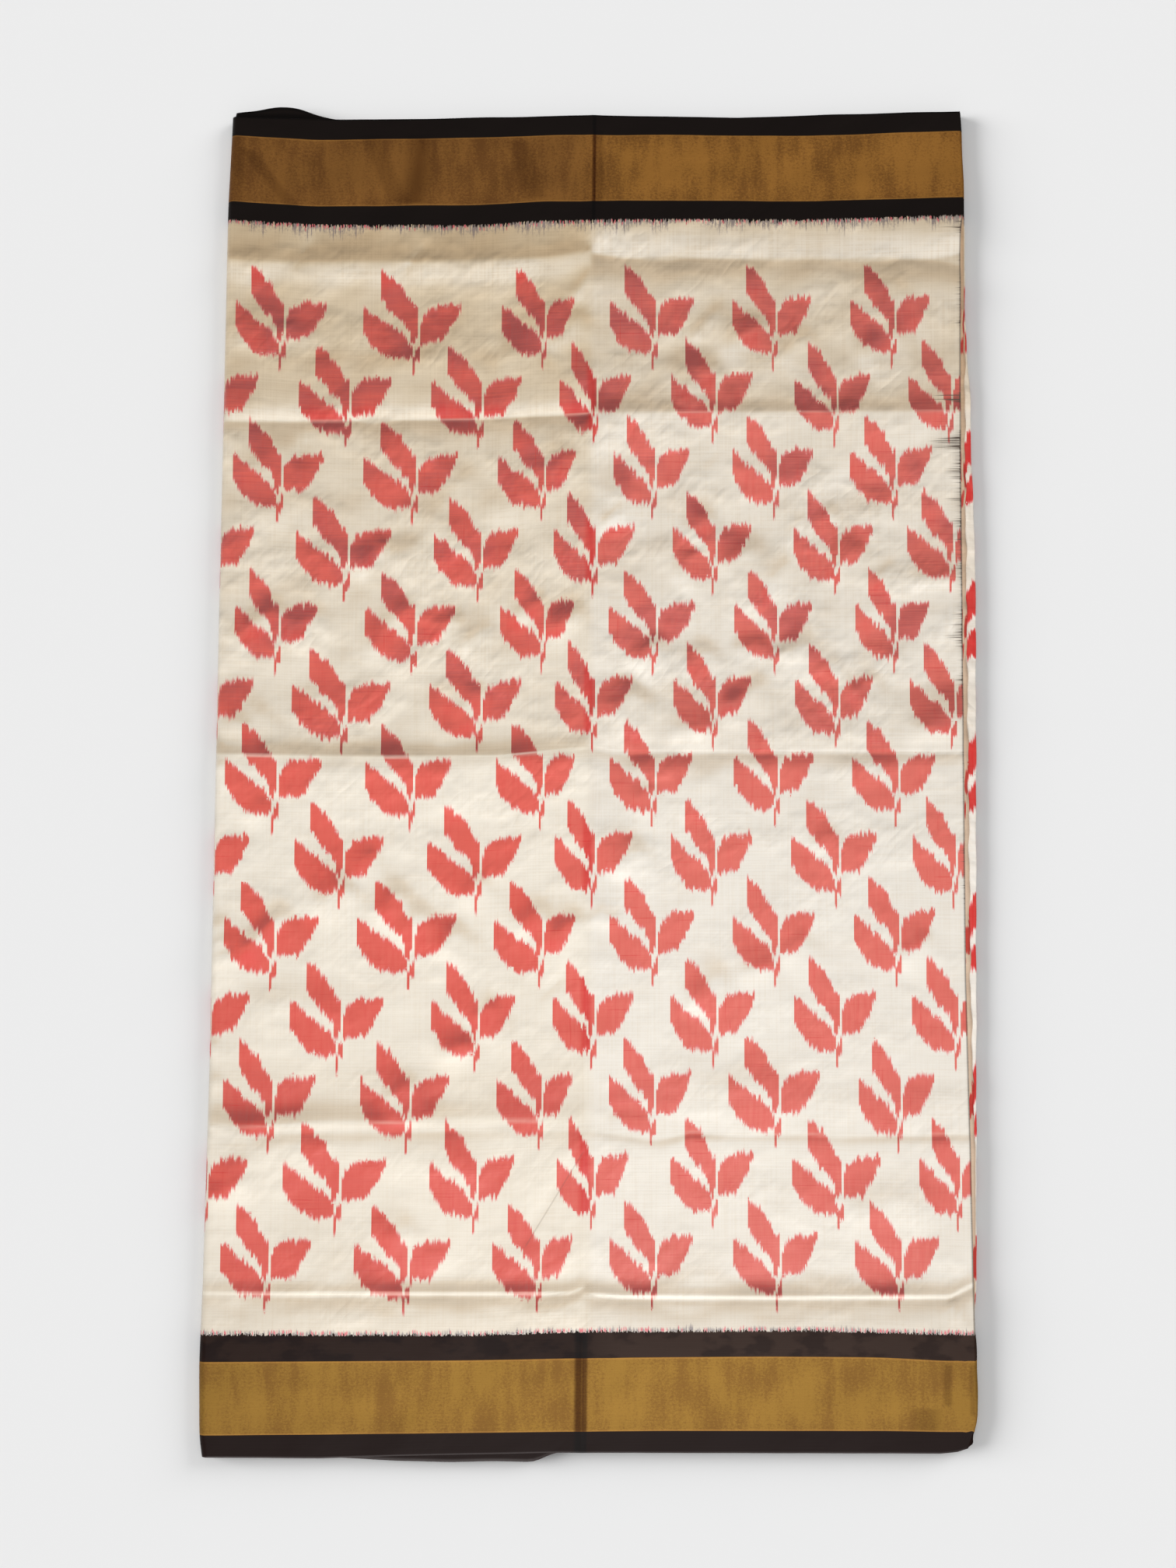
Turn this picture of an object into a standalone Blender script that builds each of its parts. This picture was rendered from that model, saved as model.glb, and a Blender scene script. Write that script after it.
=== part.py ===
"""A silk sari folded in half three times into a flat stack of eight layers.

The cloth's width, from selvedge to selvedge, runs along Y. Its length runs back and
forth along X. The stack rests on z = 0 with its middle at the origin, in metres.

Going along the cloth, the layers are 1 (top), 8 (bottom), 5, 4, 3, 6, 7 and 2. So layer
1 turns under at the left to become 8, layer 8 turns up at the right to become 5, and
layers 4 and 3 meet in a fold of their own at the right. Both cut ends lie at the right,
on layers 1 and 2.
"""
from collections import namedtuple
import math

import bmesh
import bpy
import numpy as np

MM = 0.001

# Driving dimensions of the cloth and the stack
LAYERS = 8
WALL = 1.1 * MM
PITCH = 1.5 * MM
SEAM_GAP = 0.4 * MM

# How the stack swells at its folds and is pressed thin at its selvedges
LEFT_SWELL, LEFT_SWELL_REACH = 0.10, 70 * MM
RIGHT_SWELL, RIGHT_SWELL_REACH = 0.05, 60 * MM
END_PRESS, END_PRESS_REACH = 0.04, 18 * MM

# How far the hidden ends of the stretches reach into the stack
LIP_WIDTH = 60 * MM
STRIP_WIDTH = 60 * MM
SECOND_END_SHOWS = 2.5 * MM
OUTER_FOLD_INSET = 1.5 * MM
STRIP_END_INSET = 1.0 * MM
TONGUE_INSET = 1.0 * MM
CORE_WALL_GAP = 0.6 * MM

# The woven borders, measured in from either selvedge
OUTER_BLACK = 20 * MM
GOLD_BAND = 60 * MM
INNER_BLACK = 17 * MM

# The layered ends of the hidden core
GROOVE_DEPTH = 2.0 * MM
FOLD_STEPS = 6
NARROW_FOLD_STEPS = 5
CORE_LEVELS_PER_LAYER = 2

# Outlines seen from above, in millimetres
EdgeAtY = namedtuple("EdgeAtY", "y x")
EdgeAtX = namedtuple("EdgeAtX", "x y")

LEFT_FOLD_EDGE = (
    EdgeAtY(y=-578, x=-326),
    EdgeAtY(y=-560, x=-329),
    EdgeAtY(y=-502, x=-330),
    EdgeAtY(y=-437, x=-328),
    EdgeAtY(y=-276, x=-325),
    EdgeAtY(y=150, x=-322),
    EdgeAtY(y=496, x=-319),
    EdgeAtY(y=572, x=-316),
)
TOP_CUT_EDGE = (
    EdgeAtY(y=-575, x=306),
    EdgeAtY(y=-566, x=313),
    EdgeAtY(y=-550, x=317),
    EdgeAtY(y=-325, x=318),
    EdgeAtY(y=-180, x=316),
    EdgeAtY(y=290, x=318),
    EdgeAtY(y=478, x=320.5),
    EdgeAtY(y=488, x=323.5),
    EdgeAtY(y=575, x=321.5),
)
MIDDLE_FOLD_EDGE = (
    EdgeAtY(y=-566, x=315),
    EdgeAtY(y=-550, x=319.5),
    EdgeAtY(y=-500, x=321),
    EdgeAtY(y=-475, x=319.5),
    EdgeAtY(y=-435, x=322),
    EdgeAtY(y=0, x=328),
    EdgeAtY(y=170, x=330),
    EdgeAtY(y=288, x=327.5),
    EdgeAtY(y=318, x=328),
    EdgeAtY(y=345, x=326),
    EdgeAtY(y=409, x=324),
    EdgeAtY(y=500, x=325),
    EdgeAtY(y=575, x=322.5),
)
LOWER_SELVEDGE = (
    EdgeAtX(x=-326, y=-578),
    EdgeAtX(x=-227, y=-578.7),
    EdgeAtX(x=-164, y=-576.8),
    EdgeAtX(x=-28, y=-574.2),
    EdgeAtX(x=290, y=-574.9),
    EdgeAtX(x=318, y=-570),
)
UPPER_SELVEDGE = (
    EdgeAtX(x=-316, y=571.7),
    EdgeAtX(x=-222, y=569.2),
    EdgeAtX(x=-165, y=569.6),
    EdgeAtX(x=0, y=573.1),
    EdgeAtX(x=128, y=571),
    EdgeAtX(x=237, y=574.5),
    EdgeAtX(x=321, y=576.5),
)

# Press creases, as ridges of the top layer, in millimetres
SOFT_FOLD = (
    EdgeAtX(x=-325, y=443),
    EdgeAtX(x=0, y=453),
    EdgeAtX(x=322, y=444),
)
UPPER_CREASE = (
    EdgeAtX(x=-325, y=298),
    EdgeAtX(x=-172, y=300),
    EdgeAtX(x=0, y=309),
    EdgeAtX(x=322, y=309),
)
MIDDLE_CREASE = (
    EdgeAtX(x=-325, y=12),
    EdgeAtX(x=-172, y=9.5),
    EdgeAtX(x=-3, y=17),
    EdgeAtX(x=322, y=13),
)
FAINT_CREASE = (
    EdgeAtX(x=-325, y=-299),
    EdgeAtX(x=-283, y=-313),
    EdgeAtX(x=318, y=-316),
)
LOWER_CREASE = (
    EdgeAtX(x=-325, y=-443),
    EdgeAtX(x=-10, y=-441.5),
    EdgeAtX(x=155, y=-446),
    EdgeAtX(x=296, y=-445),
    EdgeAtX(x=318, y=-436),
)
CENTRE_CREASE = (
    EdgeAtY(y=-575, x=-9),
    EdgeAtY(y=-440, x=-8.5),
    EdgeAtY(y=18, x=-3.5),
    EdgeAtY(y=575, x=0),
)
CENTRE_CREASE_LIFT, CENTRE_CREASE_WIDTH = 1.5 * MM, 6 * MM

# The top layer's columns, in millimetres from the crease, the left fold and the cut edge
COLUMNS_AT_CREASE = (-14, -5, 0, 5, 14)
COLUMNS_AT_FOLD = (0, 15, 45)
COLUMNS_AT_CUT = (30, 8, 0)
PLAIN_COLUMNS = 4

# Each guide line across the cloth: its ridge, and the plain rows just below it
Guide = namedtuple("Guide", "line lift width rows_beside plain_rows_below")
GUIDES = (
    Guide(line=LOWER_CREASE, lift=2.4 * MM, width=7 * MM, rows_beside=(5, 14), plain_rows_below=0),
    Guide(line=FAINT_CREASE, lift=0.9 * MM, width=9 * MM, rows_beside=(11,), plain_rows_below=1),
    Guide(line=MIDDLE_CREASE, lift=2.0 * MM, width=7 * MM, rows_beside=(5, 14), plain_rows_below=4),
    Guide(line=UPPER_CREASE, lift=2.2 * MM, width=7 * MM, rows_beside=(5, 14), plain_rows_below=3),
    Guide(line=SOFT_FOLD, lift=1.3 * MM, width=12 * MM, rows_beside=(12,), plain_rows_below=1),
)

# Broad soft swells of the top layer: wave lengths along X and Y, and a shift in radians
Swell = namedtuple("Swell", "height length_x length_y shift")
SWELLS = (
    Swell(height=0.5 * MM, length_x=330 * MM, length_y=410 * MM, shift=0.6),
    Swell(height=0.4 * MM, length_x=240 * MM, length_y=290 * MM, shift=2.1),
)

# How far in each hidden layer's selvedge lies at the two ends, in millimetres
LayerEnd = namedtuple("LayerEnd", "layer lower_inset upper_inset")
LAYER_ENDS = (
    LayerEnd(layer=7, lower_inset=1.6, upper_inset=2.2),
    LayerEnd(layer=6, lower_inset=0.6, upper_inset=1.0),
    LayerEnd(layer=5, lower_inset=1.8, upper_inset=0.8),
    LayerEnd(layer=4, lower_inset=0.8, upper_inset=1.9),
    LayerEnd(layer=3, lower_inset=1.4, upper_inset=0.7),
    LayerEnd(layer=2, lower_inset=0.7, upper_inset=1.0),
)

# How far the second layer's selvedge peeks out past the top one, in millimetres
Peek = namedtuple("Peek", "x shows")
UPPER_PEEK = (
    Peek(x=-316, shows=0),
    Peek(x=-300, shows=4.8),
    Peek(x=-283, shows=9.3),
    Peek(x=-270, shows=11.4),
    Peek(x=-251, shows=8.4),
    Peek(x=-232, shows=2.8),
    Peek(x=-218, shows=0),
)
LOWER_PEEK = (
    Peek(x=-218, shows=0),
    Peek(x=-195, shows=0.9),
    Peek(x=-140, shows=5.5),
    Peek(x=-49, shows=7.3),
    Peek(x=-40, shows=3.6),
    Peek(x=-31, shows=0),
)
CORE_COLUMNS = (-300, -283, -270, -251, -232, -218, -195, -140, -49, -40, -31, 60, 160)

# Finishes: colour, roughness and metallic value
Finish = namedtuple("Finish", "name color roughness metallic")
CREAM_SILK = Finish("cream silk", (0.72, 0.64, 0.50), 0.45, 0.0)
GOLD_THREAD = Finish("gold thread band", (0.38, 0.23, 0.07), 0.42, 0.6)
BLACK_SILK = Finish("black silk", (0.018, 0.013, 0.012), 0.45, 0.0)
CREAM, GOLD, BLACK = range(3)


def clear_scene():
    for thing in list(bpy.data.objects):
        bpy.data.objects.remove(thing, do_unlink=True)


def read_table(table, at):
    """Value of a two-column table at a place, straight between its rows."""
    places = [row[0] * MM for row in table]
    values = [row[1] * MM for row in table]
    return np.interp(at, places, values)


def read_smooth(table, at, reach=8 * MM):
    """The same, averaged over a short reach, so that its corners are rounded."""
    shifts = np.linspace(-reach, reach, 5)
    return sum(read_table(table, at + shift) for shift in shifts) / len(shifts)


def layer_height(layer):
    """Height of a layer's mid surface where the stack is neither swollen nor pressed."""
    return WALL / 2 + (LAYERS - layer) * PITCH


def swelling(x, y):
    """Factor on the heights: thicker towards both folds, thinner at the selvedges."""
    from_left = np.maximum(x - read_smooth(LEFT_FOLD_EDGE, y), 0)
    from_right = np.maximum(read_smooth(MIDDLE_FOLD_EDGE, y) - x, 0)
    to_lower = y - read_table(LOWER_SELVEDGE, x)
    to_upper = read_table(UPPER_SELVEDGE, x) - y
    from_end = np.maximum(np.minimum(to_lower, to_upper), 0)
    left = LEFT_SWELL * np.exp(-from_left / LEFT_SWELL_REACH)
    right = RIGHT_SWELL * np.exp(-from_right / RIGHT_SWELL_REACH)
    return 1 + left + right - END_PRESS * np.exp(-from_end / END_PRESS_REACH)


def swollen(height, factor):
    """A mid-surface height times the factor, with the lowest layer left flat."""
    return WALL / 2 + (height - WALL / 2) * factor


def relief(x, y):
    """How far the top layer stands off the stack: its creases and soft swells."""
    rise = CENTRE_CREASE_LIFT * np.exp(-((x - read_table(CENTRE_CREASE, y)) / CENTRE_CREASE_WIDTH) ** 2)
    for guide in GUIDES:
        rise = rise + guide.lift * np.exp(-((y - read_table(guide.line, x)) / guide.width) ** 2)
    for swell in SWELLS:
        along_x = np.sin(2 * math.pi * x / swell.length_x + swell.shift)
        along_y = np.sin(2 * math.pi * y / swell.length_y + 2 * swell.shift)
        rise = rise + swell.height / 2 * (1 + along_x * along_y)
    return rise


def border_rows(selvedge, outer_black):
    """Rows at a selvedge and at the lines between the border's bands."""
    insets = (0, 4 * MM, outer_black, outer_black + GOLD_BAND, outer_black + GOLD_BAND + INNER_BLACK)
    if selvedge is LOWER_SELVEDGE:
        return [(selvedge, selvedge, 0.0, inset) for inset in insets]
    return [(selvedge, selvedge, 0.0, -inset) for inset in reversed(insets)]


def row_list():
    """Every row across the cloth: two guide lines, the share between them, a shift."""
    rows = border_rows(LOWER_SELVEDGE, OUTER_BLACK - 3 * MM)
    below = LOWER_SELVEDGE
    for guide in GUIDES:
        spaces = guide.plain_rows_below + 1
        rows += [(below, guide.line, step / spaces, 0.0) for step in range(1, spaces)]
        beside = sorted({side * shift * MM for shift in (0,) + guide.rows_beside for side in (-1, 1)})
        rows += [(guide.line, guide.line, 0.0, shift) for shift in beside]
        below = guide.line
    return rows + border_rows(UPPER_SELVEDGE, OUTER_BLACK)


def row_y(row, x):
    """Y of one row at places along X."""
    below, above, share, shift = row
    return (1 - share) * read_table(below, x) + share * read_table(above, x) + shift


def row_middle(row):
    """Y of a row at the stack's middle, where a stretch's X limits are read."""
    return float(row_y(row, 0.0))


def band_between(row_count, index):
    """Border colour between one row and the next."""
    from_end = min(index, row_count - 2 - index)
    return {0: BLACK, 1: BLACK, 2: GOLD, 3: BLACK}.get(from_end, CREAM)


def make_materials(thing):
    for finish in (CREAM_SILK, GOLD_THREAD, BLACK_SILK):
        material = bpy.data.materials.new(f"{thing.name} {finish.name}")
        material.use_nodes = True
        shader = material.node_tree.nodes["Principled BSDF"]
        shader.inputs["Base Color"].default_value = (*finish.color, 1)
        shader.inputs["Roughness"].default_value = finish.roughness
        shader.inputs["Metallic"].default_value = finish.metallic
        thing.data.materials.append(material)


def make_solid(name, points, faces, colors):
    """One named closed body from its points and faces, with each face's colour."""
    mesh = bpy.data.meshes.new(name)
    mesh.from_pydata([tuple(point) for point in points], [], faces)
    thing = bpy.data.objects.new(name, mesh)
    bpy.context.scene.collection.objects.link(thing)
    make_materials(thing)
    mesh.polygons.foreach_set("material_index", colors)
    shell = bmesh.new()
    shell.from_mesh(mesh)
    bmesh.ops.recalc_face_normals(shell, faces=shell.faces)
    shell.to_mesh(mesh)
    shell.free()
    mesh.shade_smooth()
    mesh.set_sharp_from_angle(angle=math.radians(40))
    return thing


def flat_run(start, end, steps, up):
    """Stretch of a section from one X to another, with its outer side up or down."""
    x = np.linspace(start, end, steps + 1)
    return x, np.zeros(steps + 1), np.full(steps + 1, up, dtype=float)


def cloth_wall(name, rows, section, end_inset):
    """A wall of cloth: a section of mid-surface points and outward normals per row.

    The outer side is the mid surface moved out by half the wall along its normal, and
    the inner side is moved in by the same, so the wall is even all the way round. The
    first and last rows stop short of the selvedge lines by the end inset.
    """
    points = []
    shifts = [end_inset] + [0.0] * (len(rows) - 2) + [-end_inset]
    for row, shift in zip(rows, shifts):
        x, z, normal_x, normal_z, lift = section(row)
        y = row_y(row, x) + shift
        outer = WALL / 2 + lift
        inner = -WALL / 2 + lift
        points += list(zip(x + normal_x * outer, y, z + normal_z * outer))
        points += list(zip(x + normal_x * inner, y, z + normal_z * inner))
    faces, row_of_face = wall_faces(len(rows), len(x))
    colors = [band_between(len(rows), index) for index in row_of_face]
    return make_solid(name, points, faces, colors)


def wall_faces(row_count, count):
    """Faces of a wall whose rows hold their outer points, then their inner points."""
    faces, row_of_face = [], []

    def add(face, row):
        faces.append(face)
        row_of_face.append(row)

    for row in range(row_count - 1):
        here, there = row * 2 * count, (row + 1) * 2 * count
        for side in (0, count):
            for i in range(side, side + count - 1):
                add((here + i, here + i + 1, there + i + 1, there + i), row)
        for end in (0, count - 1):
            add((here + end, here + count + end, there + count + end, there + end), row)
    for row in (0, row_count - 1):
        base = row * 2 * count
        for i in range(count - 1):
            add((base + i, base + i + 1, base + count + i + 1, base + count + i), min(row, row_count - 2))
    return faces, row_of_face


def half_turn(center_x, low, high, facing, steps):
    """Half circle from the low to the high level, facing left (-1) or right (+1)."""
    angle = np.linspace(-math.pi / 2, math.pi / 2, steps + 1)
    radius = (high - low) / 2
    normal_x, normal_z = facing * np.cos(angle), np.sin(angle)
    return center_x + radius * normal_x, (low + high) / 2 + radius * normal_z, normal_x, normal_z


def top_columns(y):
    """X of the top layer's columns: close beside its centre crease and at its edges."""
    crease = read_table(CENTRE_CREASE, y)
    at_crease = crease + np.array(COLUMNS_AT_CREASE) * MM
    at_fold = left_fold_center(y) + np.array(COLUMNS_AT_FOLD) * MM
    at_cut = read_smooth(TOP_CUT_EDGE, y) - np.array(COLUMNS_AT_CUT) * MM
    left = np.linspace(at_fold[-1], at_crease[0], PLAIN_COLUMNS + 2)[1:-1]
    right = np.linspace(at_crease[-1], at_cut[0], PLAIN_COLUMNS + 2)[1:-1]
    return np.concatenate([at_fold, left, at_crease, right, at_cut])


def left_fold_center(y):
    """X of the centre line of the nested folds at the left."""
    edge = read_smooth(LEFT_FOLD_EDGE, y)
    return edge + WALL / 2 + (layer_height(1) - layer_height(8)) / 2 * swelling(edge, y)


def top_section(row):
    """From the lip under the left fold, round the fold, and over to the cut end."""
    y = row_middle(row)
    center = left_fold_center(y)
    factor = swelling(read_smooth(LEFT_FOLD_EDGE, y), y)
    low, high = swollen(layer_height(8), factor), swollen(layer_height(1), factor)
    lip_x, lip_z, lip_up = flat_run(center + LIP_WIDTH, center, 2, -1)
    turn_x, turn_z, turn_nx, turn_nz = half_turn(center, low, high, -1, FOLD_STEPS)
    flat_x = top_columns(y)
    flat_factor = swelling(flat_x, row_y(row, flat_x))
    flat_factor[0] = factor
    flat_z = swollen(layer_height(1), flat_factor)
    x = np.concatenate([lip_x[:-1], turn_x, flat_x[1:]])
    z = np.concatenate([lip_z[:-1] + low, turn_z, flat_z[1:]])
    normal_x = np.concatenate([np.zeros(len(lip_x) - 1), turn_nx, np.zeros(len(flat_x) - 1)])
    normal_z = np.concatenate([lip_up[:-1], turn_nz, np.ones(len(flat_x) - 1)])
    lift = relief(x, row_y(row, x)) * np.maximum(normal_z, 0)
    return x, z, normal_x, normal_z, lift


def strip_start(y):
    """X where the strips at the right meet the hidden core."""
    return read_smooth(TOP_CUT_EDGE, y) - STRIP_WIDTH


def fold_section(row, start, edge, low_layer, high_layer, run_steps):
    """Lower layer out to a fold at the right, round it, and back on the upper layer."""
    y = row_middle(row)
    start_x, edge_x = start(y), edge(y)
    factor_at_edge = swelling(edge_x, y)
    low = swollen(layer_height(low_layer), factor_at_edge)
    high = swollen(layer_height(high_layer), factor_at_edge)
    center = edge_x - WALL / 2 - (high - low) / 2
    out_x = np.linspace(start_x, center, run_steps + 1)[:-1]
    back_x = np.linspace(center, strip_start(y), 3)[1:]
    out_z = swollen(layer_height(low_layer), swelling(out_x, row_y(row, out_x)))
    back_z = swollen(layer_height(high_layer), swelling(back_x, row_y(row, back_x)))
    turn_x, turn_z, turn_nx, turn_nz = half_turn(center, low, high, 1, NARROW_FOLD_STEPS)
    x = np.concatenate([out_x, turn_x, back_x])
    z = np.concatenate([out_z, turn_z, back_z])
    normal_x = np.concatenate([np.zeros(len(out_x)), turn_nx, np.zeros(len(back_x))])
    normal_z = np.concatenate([-np.ones(len(out_x)), turn_nz, np.ones(len(back_x))])
    return x, z, normal_x, normal_z, np.zeros(len(x))


def middle_fold_edge(y):
    return read_smooth(MIDDLE_FOLD_EDGE, y)


def outer_fold_edge(y):
    return read_smooth(MIDDLE_FOLD_EDGE, y) - OUTER_FOLD_INSET


def under_start(y):
    """The lowest layer starts where the lip of the top stretch ends."""
    return left_fold_center(y) + LIP_WIDTH + SEAM_GAP


def middle_section(row):
    return fold_section(row, strip_start, middle_fold_edge, low_layer=4, high_layer=3, run_steps=2)


def under_section(row):
    return fold_section(row, under_start, outer_fold_edge, low_layer=8, high_layer=5, run_steps=4)


def second_section(row):
    """The second layer's flat strip, up to its cut end."""
    y = row_middle(row)
    shows = min(read_smooth(TOP_CUT_EDGE, y) + SECOND_END_SHOWS, middle_fold_edge(y) - STRIP_END_INSET)
    x, flat, normal_z = flat_run(strip_start(y), shows, 2, 1)
    z = swollen(layer_height(2), swelling(x, row_y(row, x)))
    return x, z, flat, normal_z, flat


def core_level_heights(x, y):
    """Heights of the core's levels: two to a layer, from layer 7 up to layer 2."""
    factor = swelling(x, y)
    low = swollen(layer_height(7), factor) - WALL / 2
    tongue_top = swollen(layer_height(6), factor) + WALL / 2
    high = swollen(layer_height(2), factor) + WALL / 2
    tongue_levels = 2 * CORE_LEVELS_PER_LAYER
    all_levels = (LAYERS - 2) * CORE_LEVELS_PER_LAYER
    lower = np.linspace(low, tongue_top, tongue_levels + 1)
    upper = np.linspace(tongue_top, high, all_levels - tongue_levels + 1)
    return np.concatenate([lower, upper[1:]])


def core_grid(row):
    """X and Z of the core's points in one row, by column and level.

    The first column is the rounded nose inside the left fold. The last three make the
    tongue of layers 6 and 7 inside the outer fold at the right, on the lowest levels.
    """
    y = row_middle(row)
    left_center = left_fold_center(y)
    wall_x = strip_start(y) - CORE_WALL_GAP
    edge = outer_fold_edge(y)
    factor = swelling(edge, y)
    outer_radius = (swollen(layer_height(5), factor) - swollen(layer_height(8), factor)) / 2
    right_center = edge - WALL / 2 - outer_radius - TONGUE_INSET
    columns = [left_center] + [place * MM for place in CORE_COLUMNS] + [wall_x]
    columns += [(wall_x + right_center) / 2, right_center]
    heights = [core_level_heights(x, float(row_y(row, x))) for x in columns]
    grid = [(np.full(len(zs), x), zs) for x, zs in zip(columns, heights)]
    left_levels = core_level_heights(float(read_smooth(LEFT_FOLD_EDGE, y)), y)
    right_levels = core_level_heights(edge, y)
    tongue = 2 * CORE_LEVELS_PER_LAYER
    grid[0] = (grid[0][0], left_levels)
    nose_x, nose_z, _, _ = half_turn(left_center, left_levels[0], left_levels[-1], -1, len(left_levels) - 1)
    end_x, end_z, _, _ = half_turn(right_center, right_levels[0], right_levels[tongue], 1, tongue)
    spare = len(left_levels) - tongue - 1
    end = (np.append(end_x, [right_center] * spare), np.append(end_z, right_levels[tongue + 1:]))
    return [(nose_x, nose_z)] + grid + [end]


def core_end_y(x, selvedge, outward, inset_column, peek):
    """Y of the core's levels at one end: layer edges out, grooves between them in."""
    edge = float(read_table(selvedge, x))
    shows = float(read_table(peek, x))
    insets = [GROOVE_DEPTH]
    for layer_end in LAYER_ENDS:
        insets += [getattr(layer_end, inset_column) * MM, GROOVE_DEPTH]
    insets = np.array(insets)
    if shows > 0:
        insets[-2] = -shows
        insets[-1] = min(GROOVE_DEPTH, 1 * MM - shows)
    return edge - outward * insets


def build_core(rows):
    """The hidden layers as one rounded solid, grooved between layers at both ends.

    Its section is a block of cells, twelve levels high, with the low tongue beside it.
    The rows carry only the outline of those cells, and the two ends carry all of them.
    """
    tongue = 2 * CORE_LEVELS_PER_LAYER
    points, index_of = [], {}
    for r, row in enumerate(rows):
        for c, (xs, zs) in enumerate(core_grid(row)):
            ys = row_y(row, xs)
            if r == 0:
                ys = core_end_y(xs.mean(), LOWER_SELVEDGE, -1, "lower_inset", LOWER_PEEK)
            if r == len(rows) - 1:
                ys = core_end_y(xs.mean(), UPPER_SELVEDGE, 1, "upper_inset", UPPER_PEEK)
            for level in range(len(xs)):
                index_of[r, c, level] = len(points)
                points.append((xs[level], ys[level], zs[level]))
    column_count = len(core_grid(rows[0]))
    block_end = column_count - 4
    all_levels = len(xs) - 1
    cells = [(c, level) for c in range(block_end) for level in range(all_levels)]
    cells += [(c, level) for c in range(block_end, column_count - 1) for level in range(tongue)]
    outline = outline_of(cells)
    faces, colors = [], []
    for r in range(len(rows) - 1):
        for a, b in outline:
            faces.append((index_of[r, *a], index_of[r, *b], index_of[r + 1, *b], index_of[r + 1, *a]))
            colors.append(band_between(len(rows), r))
    for r in (0, len(rows) - 1):
        for c, level in cells:
            corners = ((c, level), (c + 1, level), (c + 1, level + 1), (c, level + 1))
            faces.append(tuple(index_of[r, *corner] for corner in corners))
            colors.append(BLACK)
    return make_solid("folded_core", *drop_unused(points, faces), colors)


def outline_of(cells):
    """Edges that only one of the cells has, each as a pair of (column, level) corners."""
    edges = {}
    for c, level in cells:
        corners = ((c, level), (c + 1, level), (c + 1, level + 1), (c, level + 1))
        for a, b in zip(corners, corners[1:] + corners[:1]):
            key = frozenset((a, b))
            edges[key] = None if key in edges else (a, b)
    return [edge for edge in edges.values() if edge]


def drop_unused(points, faces):
    """The points that faces use, and the faces numbered to match."""
    used = sorted({index for face in faces for index in face})
    new_index = {old: new for new, old in enumerate(used)}
    return [points[old] for old in used], [tuple(new_index[i] for i in face) for face in faces]


def core_rows(rows):
    """The core is smooth, so it keeps the border rows and each guide line's middle row."""
    borders = 5
    inner = [row for row in rows[borders:-borders] if row[3] == 0.0]
    return rows[:borders] + inner + rows[-borders:]


def main():
    clear_scene()
    rows = row_list()
    cloth_wall("top_stretch", rows, top_section, 0.0)
    cloth_wall("second_end", rows, second_section, STRIP_END_INSET)
    cloth_wall("middle_fold", rows, middle_section, STRIP_END_INSET)
    cloth_wall("under_stretch", rows, under_section, STRIP_END_INSET)
    build_core(core_rows(rows))


main()
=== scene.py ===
# %% [markdown]
# # A folded silk sari, dressed
#
# A sari is one uncut, unsewn length of cloth, about 5.3 m by 1.15 m. This one is a handloom
# silk with a weft ikat field: the silk that runs across the cloth was tied and dyed before it
# was woven, so every leaf has straight sides and frayed, stepped tops. It is folded in half
# three times, into a flat stack of eight layers, and it lies on a pale surface.
#
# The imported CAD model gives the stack's shape. Here each CAD solid is replaced by a thin cloth
# that lies on the same form, and the weave, the dye and the creases are added to it.

# %% Load the frame
from collections import namedtuple
import math

import bpy
import numpy as np
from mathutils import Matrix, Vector


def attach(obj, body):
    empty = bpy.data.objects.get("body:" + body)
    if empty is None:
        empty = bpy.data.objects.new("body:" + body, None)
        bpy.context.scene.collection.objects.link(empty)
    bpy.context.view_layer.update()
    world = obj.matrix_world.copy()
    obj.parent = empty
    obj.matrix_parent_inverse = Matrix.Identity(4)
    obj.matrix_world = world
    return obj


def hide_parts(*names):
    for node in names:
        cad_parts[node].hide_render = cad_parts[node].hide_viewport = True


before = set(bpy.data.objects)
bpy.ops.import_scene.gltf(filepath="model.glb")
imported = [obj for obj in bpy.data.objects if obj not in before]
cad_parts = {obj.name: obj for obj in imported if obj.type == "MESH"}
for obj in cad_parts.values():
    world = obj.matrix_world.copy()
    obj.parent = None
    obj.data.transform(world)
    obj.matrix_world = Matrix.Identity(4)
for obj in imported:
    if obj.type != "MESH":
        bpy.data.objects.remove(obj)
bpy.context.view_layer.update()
MM = 0.001
print("CAD nodes:", sorted(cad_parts))

# %% [markdown]
# ## The camera
#
# The photograph was taken from above, about two metres up, tilted five degrees towards the
# lower border. A camera could be placed by eye, but a long flat cloth shows every error in
# perspective, so the place and the lens come from the cloth's four corners. The picture is
# taller than it is wide, so the sensor's height sets the fit.

# %% The camera
CAMERA_TARGET = Vector((-4.3 * MM, -14 * MM, 0))
CAMERA_OFFSET = Vector((0, -0.1748, 1.9924))
SENSOR_HEIGHT, LENS = 36, 53.467


def add_object(name, data):
    """A new object, linked to the scene."""
    added = bpy.data.objects.new(name, data)
    bpy.context.scene.collection.objects.link(added)
    return added


camera_data = bpy.data.cameras.new("camera")
camera_data.sensor_fit = "VERTICAL"
camera_data.sensor_height = SENSOR_HEIGHT
camera_data.lens = LENS
camera = add_object("camera", camera_data)
camera.location = CAMERA_TARGET + CAMERA_OFFSET
camera.rotation_euler = (-CAMERA_OFFSET).to_track_quat("-Z", "Y").to_euler()
bpy.context.scene.camera = camera
print("camera tilt", round(math.degrees(CAMERA_OFFSET.angle(Vector((0, 0, 1)))), 2), "degrees")

# %% [markdown]
# ## Tables and readers
#
# The outline of the stack is kept as short tables, in millimetres. The CAD part was made from
# the same ones, with a rounder lower right corner. They could be one long list of points, but a
# table for each edge can be read at any place, so a finer mesh still follows the same edge.

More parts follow.
